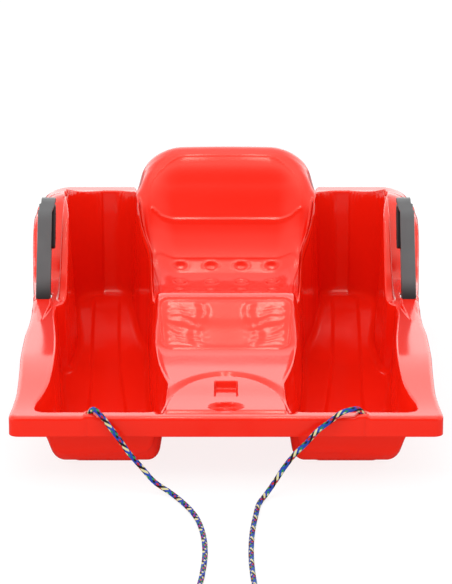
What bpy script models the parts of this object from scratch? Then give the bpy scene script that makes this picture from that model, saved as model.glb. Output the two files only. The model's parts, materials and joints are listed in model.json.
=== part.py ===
# Plastic bob sled: one moulded shell with two leg wells, two hand brake levers on pins, and a tow rope.
import bpy
import bmesh
import math
import numpy as np
from mathutils import Vector

# Main sizes in metres; y runs from the front rim to the back, x to the side, z up
sled_length = 0.740
sled_half_width = 0.250
back_height = 0.253

# Every station of the shell's curves is a share of the three main sizes
along = sled_length / 0.740
across = sled_half_width / 0.250
up = back_height / 0.253

# Shell
wall = 0.0030
front_corner_radius = 0.012 * across
rear_corner_radius = 0.060 * across
lip_radius = 0.0050 * across
well_wall_run = 0.0170 * across
well_edge_radius = 0.0036 * across
well_foot_radius = 0.0100 * across
front_wall_run = 0.0315 * across
pad_wall_run = 0.0245 * across
shoulder_wall_run = 0.0240 * across
well_corner_radius = 0.018 * across
ridge_corner_radius = 0.036 * across
shoulder_corner_radius = 0.066 * across
shoulder_round = 0.048 * across
shoulder_fall = 0.030 * up
flange_lean = 0.0022 * up
wedge_height = 0.0058 * up
well_front = 0.0160 * along
well_rear = 0.664 * along
keel_floor = wall
keel_depth = 0.0036 * up
rim_top = 0.0790 * up
flange_top = 0.1000 * up
rim_bottom = 0.0550 * up
flange_bottom = 0.0820 * up
tail_bottom = 0.0900 * up
tail_flange = 0.1120 * up
shoulder_top = 0.2040 * up
rear_band_top = 0.1880 * up
shoulder_start = 0.418 * along
lever_recess_x = 0.2170 * across
lever_recess_shift = 0.104 * along

# Brake levers
lever_pivot_y = 0.425 * along
lever_pivot_z = 0.0830 * up
lever_height = 0.1432 * up
lever_width = 0.0180
lever_lower_x = 0.2357 * across
lever_upper_x = 0.2343 * across
lever_neck_x = 0.2303 * across
grip_inner_x = 0.2214 * across
hub_radius = 0.0118
pin_radius = 0.0030
pin_fit = 0.0002
side_fit = 0.0006
slot_ahead = 0.0187 * up
slot_behind = 0.0330 * up
slot_inner_x = 0.2260 * across
slot_outer_x = 0.2458 * across
lug_inner_x = 0.2165 * across
lug_thickness = 0.0040
lug_outer_x = lug_inner_x + lug_thickness
pin_head_radius = 0.0060
pin_head_height = 0.0024
cap_radius = 0.0055
cap_height = 0.0030

# Tow rope
rope_diameter = 0.0060
rope_gap = 0.0003
eyelet_x = 0.1570 * across
eyelet_y = 0.0095 * along
eyelet_radius = 0.0044
close_run = 0.0320
coil_radius = rope_diameter * 5.5
coil_turns = 2.5
coil_pitch = rope_diameter * 1.1
coil_y = -0.4500 * along
knot_radius = 0.0066
knot_y = 0.0104 * along
knot_z = 0.0634 * up

# Colours
shell_red = (0.80, 0.018, 0.010)
brake_grey = (0.055, 0.056, 0.058)
pin_steel = (0.62, 0.62, 0.63)
rope_blue = (0.045, 0.13, 0.30)


def clear_scene():
    for thing in list(bpy.data.objects):
        bpy.data.objects.remove(thing, do_unlink=True)


def make_material(name, colour, roughness, metallic):
    material = bpy.data.materials.new(name)
    material.use_nodes = True
    shader = material.node_tree.nodes["Principled BSDF"]
    shader.inputs["Base Color"].default_value = (colour[0], colour[1], colour[2], 1.0)
    shader.inputs["Roughness"].default_value = roughness
    shader.inputs["Metallic"].default_value = metallic
    material.diffuse_color = (colour[0], colour[1], colour[2], 1.0)
    return material


def add_mesh(name, points, faces, material, smooth=True):
    mesh = bpy.data.meshes.new(name)
    mesh.from_pydata([tuple(p) for p in points], [], [tuple(f) for f in faces])
    mesh.update()
    mesh.materials.append(material)
    obj = bpy.data.objects.new(name, mesh)
    bpy.context.collection.objects.link(obj)
    if smooth:
        for face in mesh.polygons:
            face.use_smooth = True
    return obj


def outward(obj, split=False):
    work = bmesh.new()
    work.from_mesh(obj.data)
    if split:
        bmesh.ops.triangulate(work, faces=work.faces)
    bmesh.ops.recalc_face_normals(work, faces=work.faces)
    if work.calc_volume(signed=True) < 0:
        bmesh.ops.reverse_faces(work, faces=work.faces)
    work.to_mesh(obj.data)
    work.free()


def soft_step(value, low, high):
    t = np.clip((value - low) / (high - low), 0.0, 1.0)
    return t * t * (3.0 - 2.0 * t)


def blend_line(value, stations, heights):
    # Smooth curve through the stations, without overshoot between equal heights
    xs = np.array(stations)
    ys = np.array(heights)
    step = np.diff(xs)
    slope = np.diff(ys) / step
    tangent = np.zeros(len(xs))
    for k in range(1, len(xs) - 1):
        if slope[k - 1] * slope[k] > 0:
            first = 2 * step[k] + step[k - 1]
            second = step[k] + 2 * step[k - 1]
            tangent[k] = (first + second) / (first / slope[k - 1] + second / slope[k])
    v = np.clip(value, xs[0], xs[-1])
    spot = np.clip(np.searchsorted(xs, v, side="right") - 1, 0, len(step) - 1)
    t = (v - xs[spot]) / step[spot]
    a = (1 + 2 * t) * (1 - t) ** 2 * ys[spot]
    b = t * (1 - t) ** 2 * step[spot] * tangent[spot]
    c = t * t * (3 - 2 * t) * ys[spot + 1]
    d = t * t * (t - 1) * step[spot] * tangent[spot + 1]
    return a + b + c + d


def across_line(y, stations, widths):
    return blend_line(y / along, stations, widths) * across


def up_line(y, stations, heights):
    return blend_line(y / along, stations, heights) * up


def along_step(y, low, high):
    return soft_step(y, low * along, high * along)


def half_width(y):
    return across_line(
        y,
        [0.0, 0.02, 0.045, 0.085, 0.14, 0.20, 0.275, 0.335, 0.40, 0.45, 0.50, 0.55, 0.60, 0.67, 0.74],
        [0.2506, 0.2500, 0.2482, 0.2462, 0.2472, 0.2493, 0.2498, 0.2476, 0.2476, 0.2497, 0.2540,
         0.2575, 0.2600, 0.2600, 0.2560])


def ridge_half(y):
    return across_line(
        y,
        [0.0, 0.014, 0.03, 0.055, 0.085, 0.105, 0.13, 0.16, 0.20, 0.235, 0.29, 0.36, 0.45, 0.49, 0.507,
         0.525, 0.545, 0.58, 0.60, 0.74],
        [0.0760, 0.0755, 0.0735, 0.0690, 0.0655, 0.0655, 0.0700, 0.0760, 0.0805, 0.0835, 0.0868, 0.0895,
         0.0925, 0.0950, 0.0985, 0.1035, 0.1085, 0.1140, 0.1165, 0.1165])


def ridge_top(y):
    return up_line(
        y,
        [0.0, 0.03, 0.06, 0.10, 0.15, 0.20, 0.222, 0.245, 0.270, 0.290, 0.303, 0.318, 0.345, 0.380,
         0.420, 0.450, 0.480, 0.500, 0.520, 0.540, 0.560, 0.580, 0.600, 0.618, 0.632, 0.646, 0.662,
         0.680, 0.700, 0.728, 0.740],
        [0.0790, 0.0800, 0.0815, 0.0850, 0.0885, 0.0920, 0.0960, 0.1080, 0.1280, 0.1400, 0.1425, 0.1405,
         0.1270, 0.1100, 0.1020, 0.1000, 0.1010, 0.1050, 0.1130, 0.1300, 0.1540, 0.1830, 0.2130, 0.2370,
         0.2490, 0.2530, 0.2490, 0.2300, 0.1800, 0.1180, 0.1120])


def flange_height(y):
    share = blend_line(y / along, [0.0, 0.02, 0.20, 0.42, 0.74], [0.0, 0.02, 0.86, 1.0, 1.0])
    return rim_top + (flange_top - rim_top) * share


def well_outer(y):
    return across_line(
        y, [0.0, 0.045, 0.075, 0.11, 0.15, 0.19, 0.25, 0.31, 0.365, 0.394, 0.414, 0.44, 0.50, 0.60, 0.74],
        [0.2250, 0.2238, 0.2175, 0.2120, 0.2100, 0.2095, 0.2118, 0.2162, 0.2200, 0.2202, 0.2112, 0.2092,
         0.2095, 0.2195, 0.2220])


def channel_inner(y):
    return across_line(y, [0.0, 0.07, 0.25, 0.565, 0.74], [0.1060, 0.1074, 0.1240, 0.1440, 0.1470])


def channel_outer(y):
    return across_line(y, [0.0, 0.07, 0.25, 0.565, 0.74], [0.1760, 0.1750, 0.1710, 0.1790, 0.1800])


def shoulder_height(x, y):
    low = flange_height(y)

    def slope(at, top):
        run = (at - shoulder_start) / along
        t = blend_line(run, [0.0, 0.03, 0.06, 0.09, 0.15], [0.0, 0.30, 0.62, 0.86, 1.0])
        return low + (top - low) * t

    inner = slope(y, shoulder_top)
    outer = slope(y - lever_recess_shift, shoulder_top - 0.004 * up)
    mix = soft_step(x, lever_recess_x - 0.003 * across, lever_recess_x + 0.003 * across)
    return inner * (1 - mix) + outer * mix


def deck_height(x, y):
    # The top surface before the wells are sunk into it
    side = shoulder_height(x, y)
    band = soft_step(y, well_rear - 0.060 * along, well_rear)
    side = side * (1 - band) + rear_band_top * band
    drop = along_step(y, 0.684, 0.728)
    side = side * (1 - drop) + tail_flange * drop
    # Shoulders fall away in a wide round towards their outer edge
    outer = half_width(y)
    bend = np.clip((x - (outer - shoulder_round)) / (shoulder_round - lip_radius), 0.0, 1.0)
    fall = shoulder_fall * along_step(y, 0.50, 0.60) * (1 - drop)
    side = side - fall * (1 - np.sqrt(np.maximum(1 - bend * bend, 0.0)))
    # The flange leans a little outward beside the legs
    outward = np.clip((x - well_outer(y)) / (outer - well_outer(y)), 0.0, 1.0)
    lean = flange_lean * along_step(y, 0.15, 0.28) * (1 - along_step(y, 0.375, 0.400))
    side = side - lean * (outward - 0.35)
    # Three cornered wedge in the flange that rises to each brake's slot
    wide = 0.0105 * across * np.clip((y / along - 0.312) / 0.075, 0.0, 1.0)
    wedge = 1 - soft_step(np.abs(x - 0.2345 * across), wide - 0.0014 * across, wide + 0.0014 * across)
    climb = np.clip((y / along - 0.325) / 0.079, 0.0, 1.0) * (1 - along_step(y, 0.413, 0.428))
    side = side + wedge_height * wedge * climb
    half = ridge_half(y)
    centre = ridge_top(y) - 0.0030 * up * (x / half) ** 2 * along_step(y, 0.60, 0.64)
    # Seat and back are dished: their side rims stand a little higher
    dish = 0.010 * up * along_step(y, 0.44, 0.54) * (1 - along_step(y, 0.60, 0.64))
    centre = centre + dish * (soft_step(x / half, 0.60, 0.92) - 0.35)
    # The seat's and back's edges are rounded off
    edge = np.clip((x - (half - 0.015 * across)) / (0.017 * across), 0.0, 1.3)
    soft = 0.0045 * along_step(y, 0.19, 0.27) + 0.0035 * along_step(y, 0.45, 0.54)
    centre = centre - 0.8 * soft * up * edge * edge
    # Rounded top corners of the back
    crown = along_step(y, 0.575, 0.635) * (1 - along_step(y, 0.70, 0.73))
    corner = np.clip((x - (half - 0.058 * across)) / (0.064 * across), 0.0, 0.99)
    centre = centre - crown * 0.062 * up * (1 - np.sqrt(np.maximum(1 - corner * corner, 0.0)))
    mix = soft_step(x, half - 0.004 * across, half + 0.010 * across)
    return centre * (1 - mix) + side * mix


def pad_height(x, y):
    # Half round raised pad behind the front rim, with a square and a round pocket in it
    u = x / across
    v = y / along
    reach = np.sqrt((u / 0.0720) ** 2 + (np.maximum(v - 0.014, 0.0) / 0.116) ** 2)
    raised = 0.0030 * (1 - soft_step(reach, 0.92, 1.02)) * soft_step(v, 0.008, 0.018)
    sunk = 0.0050 * soft_step(reach, 0.96, 1.04) * (1 - soft_step(reach, 1.10, 1.20))
    sunk = sunk * soft_step(v, 0.008, 0.030)
    square = (1 - soft_step(u, 0.0115, 0.0145)) * soft_step(v, 0.060, 0.064)
    square = square * (1 - soft_step(v, 0.104, 0.110))
    crescent = np.sqrt((u / 0.0215) ** 2 + ((v - 0.028) / 0.0150) ** 2)
    pocket = 0.0080 * square + 0.0060 * (1 - soft_step(crescent, 0.75, 1.0))
    return (raised - sunk - pocket) * up


def floor_height(x, y):
    inner = channel_inner(y)
    outer = channel_outer(y)
    edge = 0.003 * across
    fade = along_step(y, 0.058, 0.085)
    groove = soft_step(x, inner - edge, inner + edge) * (1 - soft_step(x, outer - edge, outer + edge)) * fade
    groove = groove * (1 - along_step(y, 0.60, 0.64))
    base = keel_floor + keel_depth * (1 - groove)
    lift = 0.040 * up * along_step(y, 0.440, 0.640) ** 1.6
    front = 0.024 * up * (1 - along_step(y, 0.028, 0.084)) ** 2
    return base + lift + front


def outer_wall_run(y):
    ahead = (front_wall_run - well_wall_run) * (1 - along_step(y, 0.07, 0.21))
    behind = (shoulder_wall_run - well_wall_run) * along_step(y, 0.40, 0.56)
    return well_wall_run + ahead + behind


def inner_wall_run(y):
    return well_wall_run + (pad_wall_run - well_wall_run) * (1 - along_step(y, 0.12, 0.22))


def well_run(x, y):
    # The walls lean more beside the pad, at the front and below the shoulders
    outer = soft_step((x - ridge_half(y)) / (well_outer(y) - ridge_half(y)), 0.35, 0.65)
    rear = along_step(y, 0.56, 0.63) * 0.4
    return inner_wall_run(y) + (outer_wall_run(y) - inner_wall_run(y)) * np.maximum(outer, rear)


def well_distance(x, y):
    # Distance inside the well's plan outline, with rounded corners
    inner_side = x - ridge_half(y) - 0.0005 * across
    outer_side = well_outer(y) - x
    inward = np.minimum(inner_side, outer_side)
    back = np.minimum(y - well_front, well_rear - y)
    rear = np.where(outer_side < inner_side, shoulder_corner_radius, ridge_corner_radius)
    r = np.where(y > sled_length / 2, rear, well_corner_radius)
    a = np.maximum(r - inward, 0.0)
    b = np.maximum(r - back, 0.0)
    inside = np.minimum(inward, back)
    rounded = r - np.sqrt(a * a + b * b)
    return np.where((a > 0) & (b > 0), rounded, inside)


def wall_drop(distance, run, depth):
    # A rounded edge, a straight leaning wall and a rounded foot
    both = well_edge_radius + well_foot_radius
    lean = np.arcsin(both / np.hypot(run, depth - both)) + np.arctan2(depth - both, run)
    d = np.clip(distance, 0.0, run)
    edge_end = well_edge_radius * np.sin(lean)
    foot_start = run - well_foot_radius * np.sin(lean)
    edge = well_edge_radius - np.sqrt(well_edge_radius ** 2 - np.minimum(d, edge_end) ** 2)
    wall_part = well_edge_radius * (1 - np.cos(lean)) + (d - edge_end) * np.tan(lean)
    foot_part = np.sqrt(well_foot_radius ** 2 - np.minimum(run - d, well_foot_radius) ** 2)
    foot = depth - well_foot_radius + foot_part
    return np.where(d < edge_end, edge, np.where(d < foot_start, wall_part, foot))


def shell_height(x, y):
    deck = deck_height(x, y) + pad_height(x, y)
    return deck - wall_drop(well_distance(x, y), well_run(x, y), deck - floor_height(x, y))


def skirt_bottom(y):
    low = blend_line(y / along, [0.0, 0.03, 0.20, 0.42, 0.74], [0.0, 0.08, 0.86, 1.0, 1.0])
    tail = along_step(y, 0.42, 0.70)
    return (rim_bottom + (flange_bottom - rim_bottom) * low) * (1 - tail) + tail_bottom * tail


def round_corner(x, y):
    # Bends the rectangle's corners to their radius in plan
    out_x = x.copy()
    out_y = y.copy()
    for radius, front in ((front_corner_radius, True), (rear_corner_radius, False)):
        edge = half_width(y)
        centre_x = edge - radius
        centre_y = radius if front else sled_length - radius
        a = x - centre_x
        b = (centre_y - y) if front else (y - centre_y)
        inside = (a > 0) & (b > 0)
        size = np.sqrt(a * a + b * b) + 1e-12
        scale = np.where(inside, np.maximum(a, b) / size, 1.0)
        out_x = np.where(inside, centre_x + a * scale, out_x)
        if front:
            out_y = np.where(inside, centre_y - b * scale, out_y)
        else:
            out_y = np.where(inside, centre_y + b * scale, out_y)
    return out_x, out_y


def grid_rows():
    marks = [0.0095, 0.0158, 0.0180, 0.0205, 0.0290, 0.0366, 0.0600, 0.0680, 0.0850, 0.1030, 0.1120, 0.1300,
             0.1480, 0.1750, 0.2050, 0.2350, 0.2550, 0.2750, 0.2900, 0.3030, 0.3200, 0.3400, 0.3520, 0.3750,
             0.4000, 0.4120, 0.4250, 0.4380, 0.4520, 0.4720, 0.4920, 0.5120, 0.5320, 0.5500, 0.5680, 0.5860,
             0.6040, 0.6200, 0.6350, 0.6446, 0.6500, 0.6580, 0.6620, 0.6645, 0.6760, 0.6880, 0.7050, 0.7190,
             0.7290]
    return [lip_radius] + [mark * along for mark in marks] + [sled_length - lip_radius]


def grid_columns(y):
    b = ridge_half(y)
    o = well_outer(y)
    c = channel_inner(y)
    e = channel_outer(y)
    h = half_width(y)
    q = across
    foot = np.maximum(o + 0.0095 * q, 0.2200 * q)
    run = outer_wall_run(y)
    rise = inner_wall_run(y)
    inner_foot = np.minimum(b + rise + 0.0008 * q, c - 0.0065 * q)
    outer_foot = np.maximum(o - run - 0.0004 * q, e + 0.0060 * q)
    return [0 * b, 0.27 * b, 0.53 * b, 0.76 * b, b - 0.0085 * q, b + 0.0002 * q, b + 0.0024 * q,
            b + 0.0044 * q, b + rise - 0.0050 * q, inner_foot, c - 0.0035 * q, c + 0.0035 * q,
            (c + e) / 2, e - 0.0035 * q, e + 0.0035 * q, outer_foot, o - run + 0.0055 * q,
            o - 0.0038 * q, o - 0.0020 * q, o + 0.0004 * q,
            foot, 0.5 * foot + 0.5 * (h - 0.0105 * q), h - 0.0105 * q, h - lip_radius]


def surface_points():
    rows = np.array(grid_rows())
    columns = grid_columns(rows)
    half = np.stack(columns, axis=1)
    sideways = np.concatenate([-half[:, :0:-1], half], axis=1)
    lengthwise = np.repeat(rows[:, None], sideways.shape[1], axis=1)
    sign = np.sign(sideways)
    x, y = round_corner(np.abs(sideways), lengthwise)
    z = shell_height(np.abs(x), y)
    return np.stack([sign * x, y, z], axis=2)


def border_indices(rows, columns):
    front = [(0, j) for j in range(columns)]
    right = [(i, columns - 1) for i in range(1, rows)]
    back = [(rows - 1, j) for j in range(columns - 2, -1, -1)]
    left = [(i, 0) for i in range(rows - 2, 0, -1)]
    return front + right + back + left


def build_shell(material):
    grid = surface_points()
    rows, columns = grid.shape[0], grid.shape[1]
    points = [tuple(grid[i, j]) for i in range(rows) for j in range(columns)]
    faces = []
    for i in range(rows - 1):
        for j in range(columns - 1):
            a = i * columns + j
            faces.append((a, a + 1, a + columns + 1, a + columns))
    ring = [i * columns + j for i, j in border_indices(rows, columns)]
    flat = np.array([points[k][:2] for k in ring])
    ahead = np.roll(flat, -1, axis=0) - np.roll(flat, 1, axis=0)
    ahead = ahead / np.linalg.norm(ahead, axis=1)[:, None]
    out = np.stack([ahead[:, 1], -ahead[:, 0]], axis=1)
    base_z = np.array([points[k][2] for k in ring])
    low = skirt_bottom(flat[:, 1])
    loops = [ring]
    for reach, down in ((lip_radius * 0.65, lip_radius * 0.24), (lip_radius, lip_radius)):
        spot = flat + out * reach
        start = len(points)
        points.extend([(spot[k][0], spot[k][1], base_z[k] - down) for k in range(len(ring))])
        loops.append(list(range(start, start + len(ring))))
    spot = flat + out * lip_radius
    start = len(points)
    points.extend([(spot[k][0], spot[k][1], low[k]) for k in range(len(ring))])
    loops.append(list(range(start, start + len(ring))))
    for first, second in zip(loops[:-1], loops[1:]):
        count = len(first)
        for k in range(count):
            n = (k + 1) % count
            faces.append((first[n], first[k], second[k], second[n]))
    upper = np.array(points)
    tops = np.zeros_like(upper)
    for face in faces:
        quad = upper[list(face)]
        area = np.cross(quad[2] - quad[0], quad[3] - quad[1])
        for k in face:
            tops[k] += area / np.linalg.norm(area)
    normals = tops / np.linalg.norm(tops, axis=1)[:, None]
    stretch = 1.0 / np.clip(np.linalg.norm(tops, axis=1) / 4.0, 0.80, 1.0)
    edge = set(loops[-1])
    stretch = np.array([1.0 if k in edge else stretch[k] for k in range(len(stretch))])
    for k in edge:
        normals[k][2] = 0.0
        normals[k] = normals[k] / np.linalg.norm(normals[k])
    lower = upper - normals * (wall * stretch)[:, None]
    total = len(points)
    all_points = [tuple(p) for p in upper] + [tuple(p) for p in lower]
    all_faces = list(faces) + [tuple(total + k for k in reversed(face)) for face in faces]
    last = loops[-1]
    for k in range(len(last)):
        n = (k + 1) % len(last)
        all_faces.append((last[n], last[k], total + last[k], total + last[n]))
    moved = [(p[0], p[1] - sled_length / 2, p[2]) for p in all_points]
    shell = add_mesh("shell", moved, all_faces, material)
    outward(shell, split=True)
    return shell


def cutter(name, kind, centre, size, axis="Z"):
    if kind == "box":
        bpy.ops.mesh.primitive_cube_add(size=1.0, location=centre)
        obj = bpy.context.object
        obj.scale = size
        bpy.ops.object.transform_apply(location=False, rotation=False, scale=True)
    else:
        turn = (0, math.pi / 2, 0) if axis == "X" else (0, 0, 0)
        bpy.ops.mesh.primitive_cylinder_add(
            vertices=20, radius=size[0], depth=size[1], location=centre, rotation=turn)
        obj = bpy.context.object
        bpy.ops.object.transform_apply(location=False, rotation=True, scale=False)
    obj.name = name
    obj.hide_render = True
    obj.display_type = "WIRE"
    return obj


def combine(target, tool, operation):
    change = target.modifiers.new("cut", "BOOLEAN")
    change.operation = operation
    change.solver = "EXACT"
    change.object = tool
    bpy.context.view_layer.objects.active = target
    bpy.ops.object.modifier_apply(modifier=change.name)
    bpy.data.objects.remove(tool, do_unlink=True)


def lug_solid(side):
    # Bearing plate that hangs from the flange beside the brake's slot
    inner = side * lug_inner_x
    outer = side * lug_outer_x
    y0 = lever_pivot_y - sled_length / 2
    outline = []
    for k in range(9):
        angle = math.pi + math.pi * k / 8
        outline.append((y0 + 0.013 * math.cos(angle), lever_pivot_z + 0.013 * math.sin(angle)))
    outline.append((y0 + 0.015, flange_top - wall * 0.4))
    outline.append((y0 - 0.015, flange_top - wall * 0.4))
    points = [(inner, y, z) for y, z in outline] + [(outer, y, z) for y, z in outline]
    count = len(outline)
    faces = [tuple(range(count)), tuple(range(2 * count - 1, count - 1, -1))]
    for k in range(count):
        n = (k + 1) % count
        faces.append((k, k + count, n + count, n))
    lug = add_mesh("lug", points, faces, bpy.data.materials["shell_plastic"], smooth=False)
    outward(lug)
    return lug


def finish_shell(shell):
    y0 = lever_pivot_y - sled_length / 2
    for side in (-1, 1):
        combine(shell, lug_solid(side), "UNION")
        bore_outer = half_width(np.array([lever_pivot_y]))[0] + wall
        bore_inner = lug_inner_x - wall * 0.6
        bore = cutter("bore", "round", (side * (bore_outer + bore_inner) / 2, y0, lever_pivot_z),
                      (pin_radius + pin_fit, bore_outer - bore_inner), "X")
        combine(shell, bore, "DIFFERENCE")
        middle = (slot_inner_x + slot_outer_x) / 2 * side
        slot = cutter("slot", "box", (middle, y0 + (slot_behind - slot_ahead) / 2, flange_top),
                      (slot_outer_x - slot_inner_x, slot_behind + slot_ahead, wall * 10))
        combine(shell, slot, "DIFFERENCE")
    for x in (-eyelet_x, eyelet_x):
        hole = cutter("hole", "round", (x, eyelet_y - sled_length / 2, rim_top), (eyelet_radius, wall * 10))
        combine(shell, hole, "DIFFERENCE")


def arc_points(radius, start, end):
    angles = [math.radians(start + (end - start) * k / 6) for k in range(7)]
    return [(radius * math.cos(angle), radius * math.sin(angle)) for angle in angles]


def lever_shapes():
    # Side view of one lever from its pin, front edge first, as (back, up)
    front = [(-0.0175, 0.0190), (-0.0100, 0.0360), (0.0005, 0.0570), (0.0110, 0.0770), (0.0205, 0.0960),
             (0.0290, 0.1150), (0.0340, 0.1275), (0.0375, 0.1310), (0.0420, 0.1405), (0.0460, 0.1432)]
    grip = [(0.0550, 0.1432), (0.0620, 0.1395), (0.0665, 0.1310), (0.0650, 0.1275), (0.0610, 0.1170),
            (0.0595, 0.1100), (0.0550, 0.1035), (0.0495, 0.0980), (0.0475, 0.0910), (0.0430, 0.0845),
            (0.0370, 0.0795), (0.0310, 0.0730), (0.0230, 0.0590), (0.0170, 0.0460), (0.0130, 0.0330)]
    claw = [(0.0310, -0.0110), (0.0550, -0.0230), (0.0770, -0.0355), (0.0910, -0.0455), (0.0895, -0.0500),
            (0.0790, -0.0480), (0.0710, -0.0460), (0.0630, -0.0465), (0.0550, -0.0395), (0.0450, -0.0365),
            (0.0250, -0.0275), (0.0050, -0.0190)]
    block = [(0.0245, 0.0800), (0.0480, 0.1300), (0.0600, 0.1300), (0.0610, 0.1170), (0.0595, 0.1100),
             (0.0550, 0.1035), (0.0495, 0.0980), (0.0475, 0.0910), (0.0430, 0.0845), (0.0330, 0.0760)]
    size = lever_height / 0.1432
    scaled = [[(y * size, z * size) for y, z in shape] for shape in (front, grip, claw, block)]
    behind = arc_points(0.0140 * size, 62, 0)
    below = arc_points(0.0150 * size, 255, 180)
    return scaled[0] + scaled[1] + behind + scaled[2] + below, scaled[3]


def lever_centre(z):
    # The lever leans a little towards the rider as it rises, and its neck steps further in
    t = min(max((z - 0.154 * lever_height) / (0.736 * lever_height), 0.0), 1.0)
    centre = lever_lower_x + (lever_upper_x - lever_lower_x) * t
    neck = min(max((z - 0.891 * lever_height) / (0.023 * lever_height), 0.0), 1.0)
    return centre + (lever_neck_x - lever_upper_x) * neck


def side_solid(name, outline, near, far, material):
    # Solid between two side faces; near and far give x for each point of the outline
    count = len(outline)
    points = [(near(y, z), y, z) for y, z in outline] + [(far(y, z), y, z) for y, z in outline]
    faces = [tuple(range(count)), tuple(range(2 * count - 1, count - 1, -1))]
    for k in range(count):
        n = (k + 1) % count
        faces.append((k, k + count, n + count, n))
    solid = add_mesh(name, points, faces, material, smooth=False)
    outward(solid, split=True)
    return solid


def build_lever(side, name, material):
    outline, block = lever_shapes()

    def reach(y, z):
        width = lever_width / 2
        if z < -0.12 * lever_height and y > 0.10 * lever_height:
            width = width - 0.11 * lever_width
        return width

    lever = side_solid(name, outline, lambda y, z: side * (lever_centre(z) - reach(y, z)),
                       lambda y, z: side * (lever_centre(z) + reach(y, z)), material)
    grip = side_solid("grip", block, lambda y, z: side * grip_inner_x,
                      lambda y, z: side * lever_centre(z), material)
    combine(lever, grip, "UNION")
    bevel = lever.modifiers.new("round", "BEVEL")
    bevel.width = 0.0020
    bevel.segments = 2
    bevel.limit_method = "ANGLE"
    bevel.angle_limit = math.radians(60)
    bpy.context.view_layer.objects.active = lever
    bpy.ops.object.modifier_apply(modifier=bevel.name)
    inner = lug_outer_x + side_fit
    outer = half_width(np.array([lever_pivot_y]))[0] - wall - side_fit
    hub = cutter("hub", "round", (side * (inner + outer) / 2, 0.0, 0.0), (hub_radius, outer - inner), "X")
    combine(lever, hub, "UNION")
    bore = cutter("bore", "round", (side * (inner + outer) / 2, 0.0, 0.0),
                  (pin_radius + pin_fit, hub_radius * 5), "X")
    combine(lever, bore, "DIFFERENCE")
    pivot = bpy.data.objects.new(name + "_pivot", None)
    bpy.context.collection.objects.link(pivot)
    pivot.location = (0.0, lever_pivot_y - sled_length / 2, lever_pivot_z)
    lever.parent = pivot
    return lever


def turned(name, profile, material, steps=24):
    # Solid of revolution about the x axis from (x, radius) pairs
    points = []
    faces = []
    rings = []
    for x, radius in profile:
        if radius == 0:
            rings.append([len(points)])
            points.append((x, 0.0, 0.0))
            continue
        start = len(points)
        for k in range(steps):
            angle = 2 * math.pi * k / steps
            points.append((x, radius * math.cos(angle), radius * math.sin(angle)))
        rings.append(list(range(start, start + steps)))
    for first, second in zip(rings[:-1], rings[1:]):
        for k in range(steps):
            n = (k + 1) % steps
            if len(first) == 1:
                faces.append((first[0], second[k], second[n]))
            elif len(second) == 1:
                faces.append((first[k], second[0], first[n]))
            else:
                faces.append((first[k], second[k], second[n], first[n]))
    obj = add_mesh(name, points, faces, material)
    outward(obj)
    return obj


def build_pin(side, name, material):
    ends = np.array([lever_pivot_y - pin_head_radius, lever_pivot_y + pin_head_radius])
    outside = float(np.max(half_width(ends))) + pin_fit
    inside = lug_inner_x - cap_height - 0.0010
    top = outside + pin_head_height
    profile = [(top, 0), (top - pin_head_height * 0.06, pin_head_radius * 0.45),
               (top - pin_head_height * 0.4, pin_head_radius * 0.88),
               (top - pin_head_height * 0.75, pin_head_radius), (outside, pin_head_radius),
               (outside, pin_radius), (inside + 0.0005, pin_radius), (inside, pin_radius - 0.0005), (inside, 0)]
    pin = turned(name, [(side * x, r) for x, r in profile], material)
    pin.location = (0.0, lever_pivot_y - sled_length / 2, lever_pivot_z)
    return pin


def build_cap(side, name, material):
    # Push on ring that keeps the pin in its lug
    outer = lug_inner_x - 0.0003
    inner = outer - cap_height
    bore = pin_radius + 0.0001
    profile = [(outer, bore), (outer, cap_radius), (inner + 0.0008, cap_radius), (inner, cap_radius - 0.0008),
               (inner, bore), (outer, bore)]
    cap = turned(name, [(side * x, r) for x, r in profile], material)
    work = bmesh.new()
    work.from_mesh(cap.data)
    bmesh.ops.remove_doubles(work, verts=work.verts, dist=0.00001)
    work.to_mesh(cap.data)
    work.free()
    outward(cap)
    cap.location = (0.0, lever_pivot_y - sled_length / 2, lever_pivot_z)
    return cap


def smooth_route(nodes, spacing):
    # Points at even spacing along a smooth curve through the nodes
    pts = np.array(nodes, dtype=float)
    ends = np.vstack([2 * pts[0] - pts[1], pts, 2 * pts[-1] - pts[-2]])
    dense = []
    for k in range(1, len(ends) - 2):
        p0, p1, p2, p3 = ends[k - 1], ends[k], ends[k + 1], ends[k + 2]
        t0 = 0.0
        t1 = t0 + np.linalg.norm(p1 - p0) ** 0.5
        t2 = t1 + np.linalg.norm(p2 - p1) ** 0.5
        t3 = t2 + np.linalg.norm(p3 - p2) ** 0.5
        for t in np.linspace(t1, t2, 24, endpoint=False):
            a1 = (t1 - t) / (t1 - t0) * p0 + (t - t0) / (t1 - t0) * p1
            a2 = (t2 - t) / (t2 - t1) * p1 + (t - t1) / (t2 - t1) * p2
            a3 = (t3 - t) / (t3 - t2) * p2 + (t - t2) / (t3 - t2) * p3
            b1 = (t2 - t) / (t2 - t0) * a1 + (t - t0) / (t2 - t0) * a2
            b2 = (t3 - t) / (t3 - t1) * a2 + (t - t1) / (t3 - t1) * a3
            dense.append((t2 - t) / (t2 - t1) * b1 + (t - t1) / (t2 - t1) * b2)
    dense.append(pts[-1])
    dense = np.array(dense)
    run = np.concatenate([[0.0], np.cumsum(np.linalg.norm(np.diff(dense, axis=0), axis=1))])
    near = np.linspace(0.0, close_run, 8)[:-1]
    count = max(int(round((run[-1] - close_run) / spacing)), 4)
    marks = np.concatenate([near, np.linspace(close_run, run[-1], count + 1)])
    even = np.stack([np.interp(marks, run, dense[:, k]) for k in range(3)], axis=1)
    even[:, 2] = np.maximum(even[:, 2], rope_diameter / 2)
    return even, run[-1]


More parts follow.
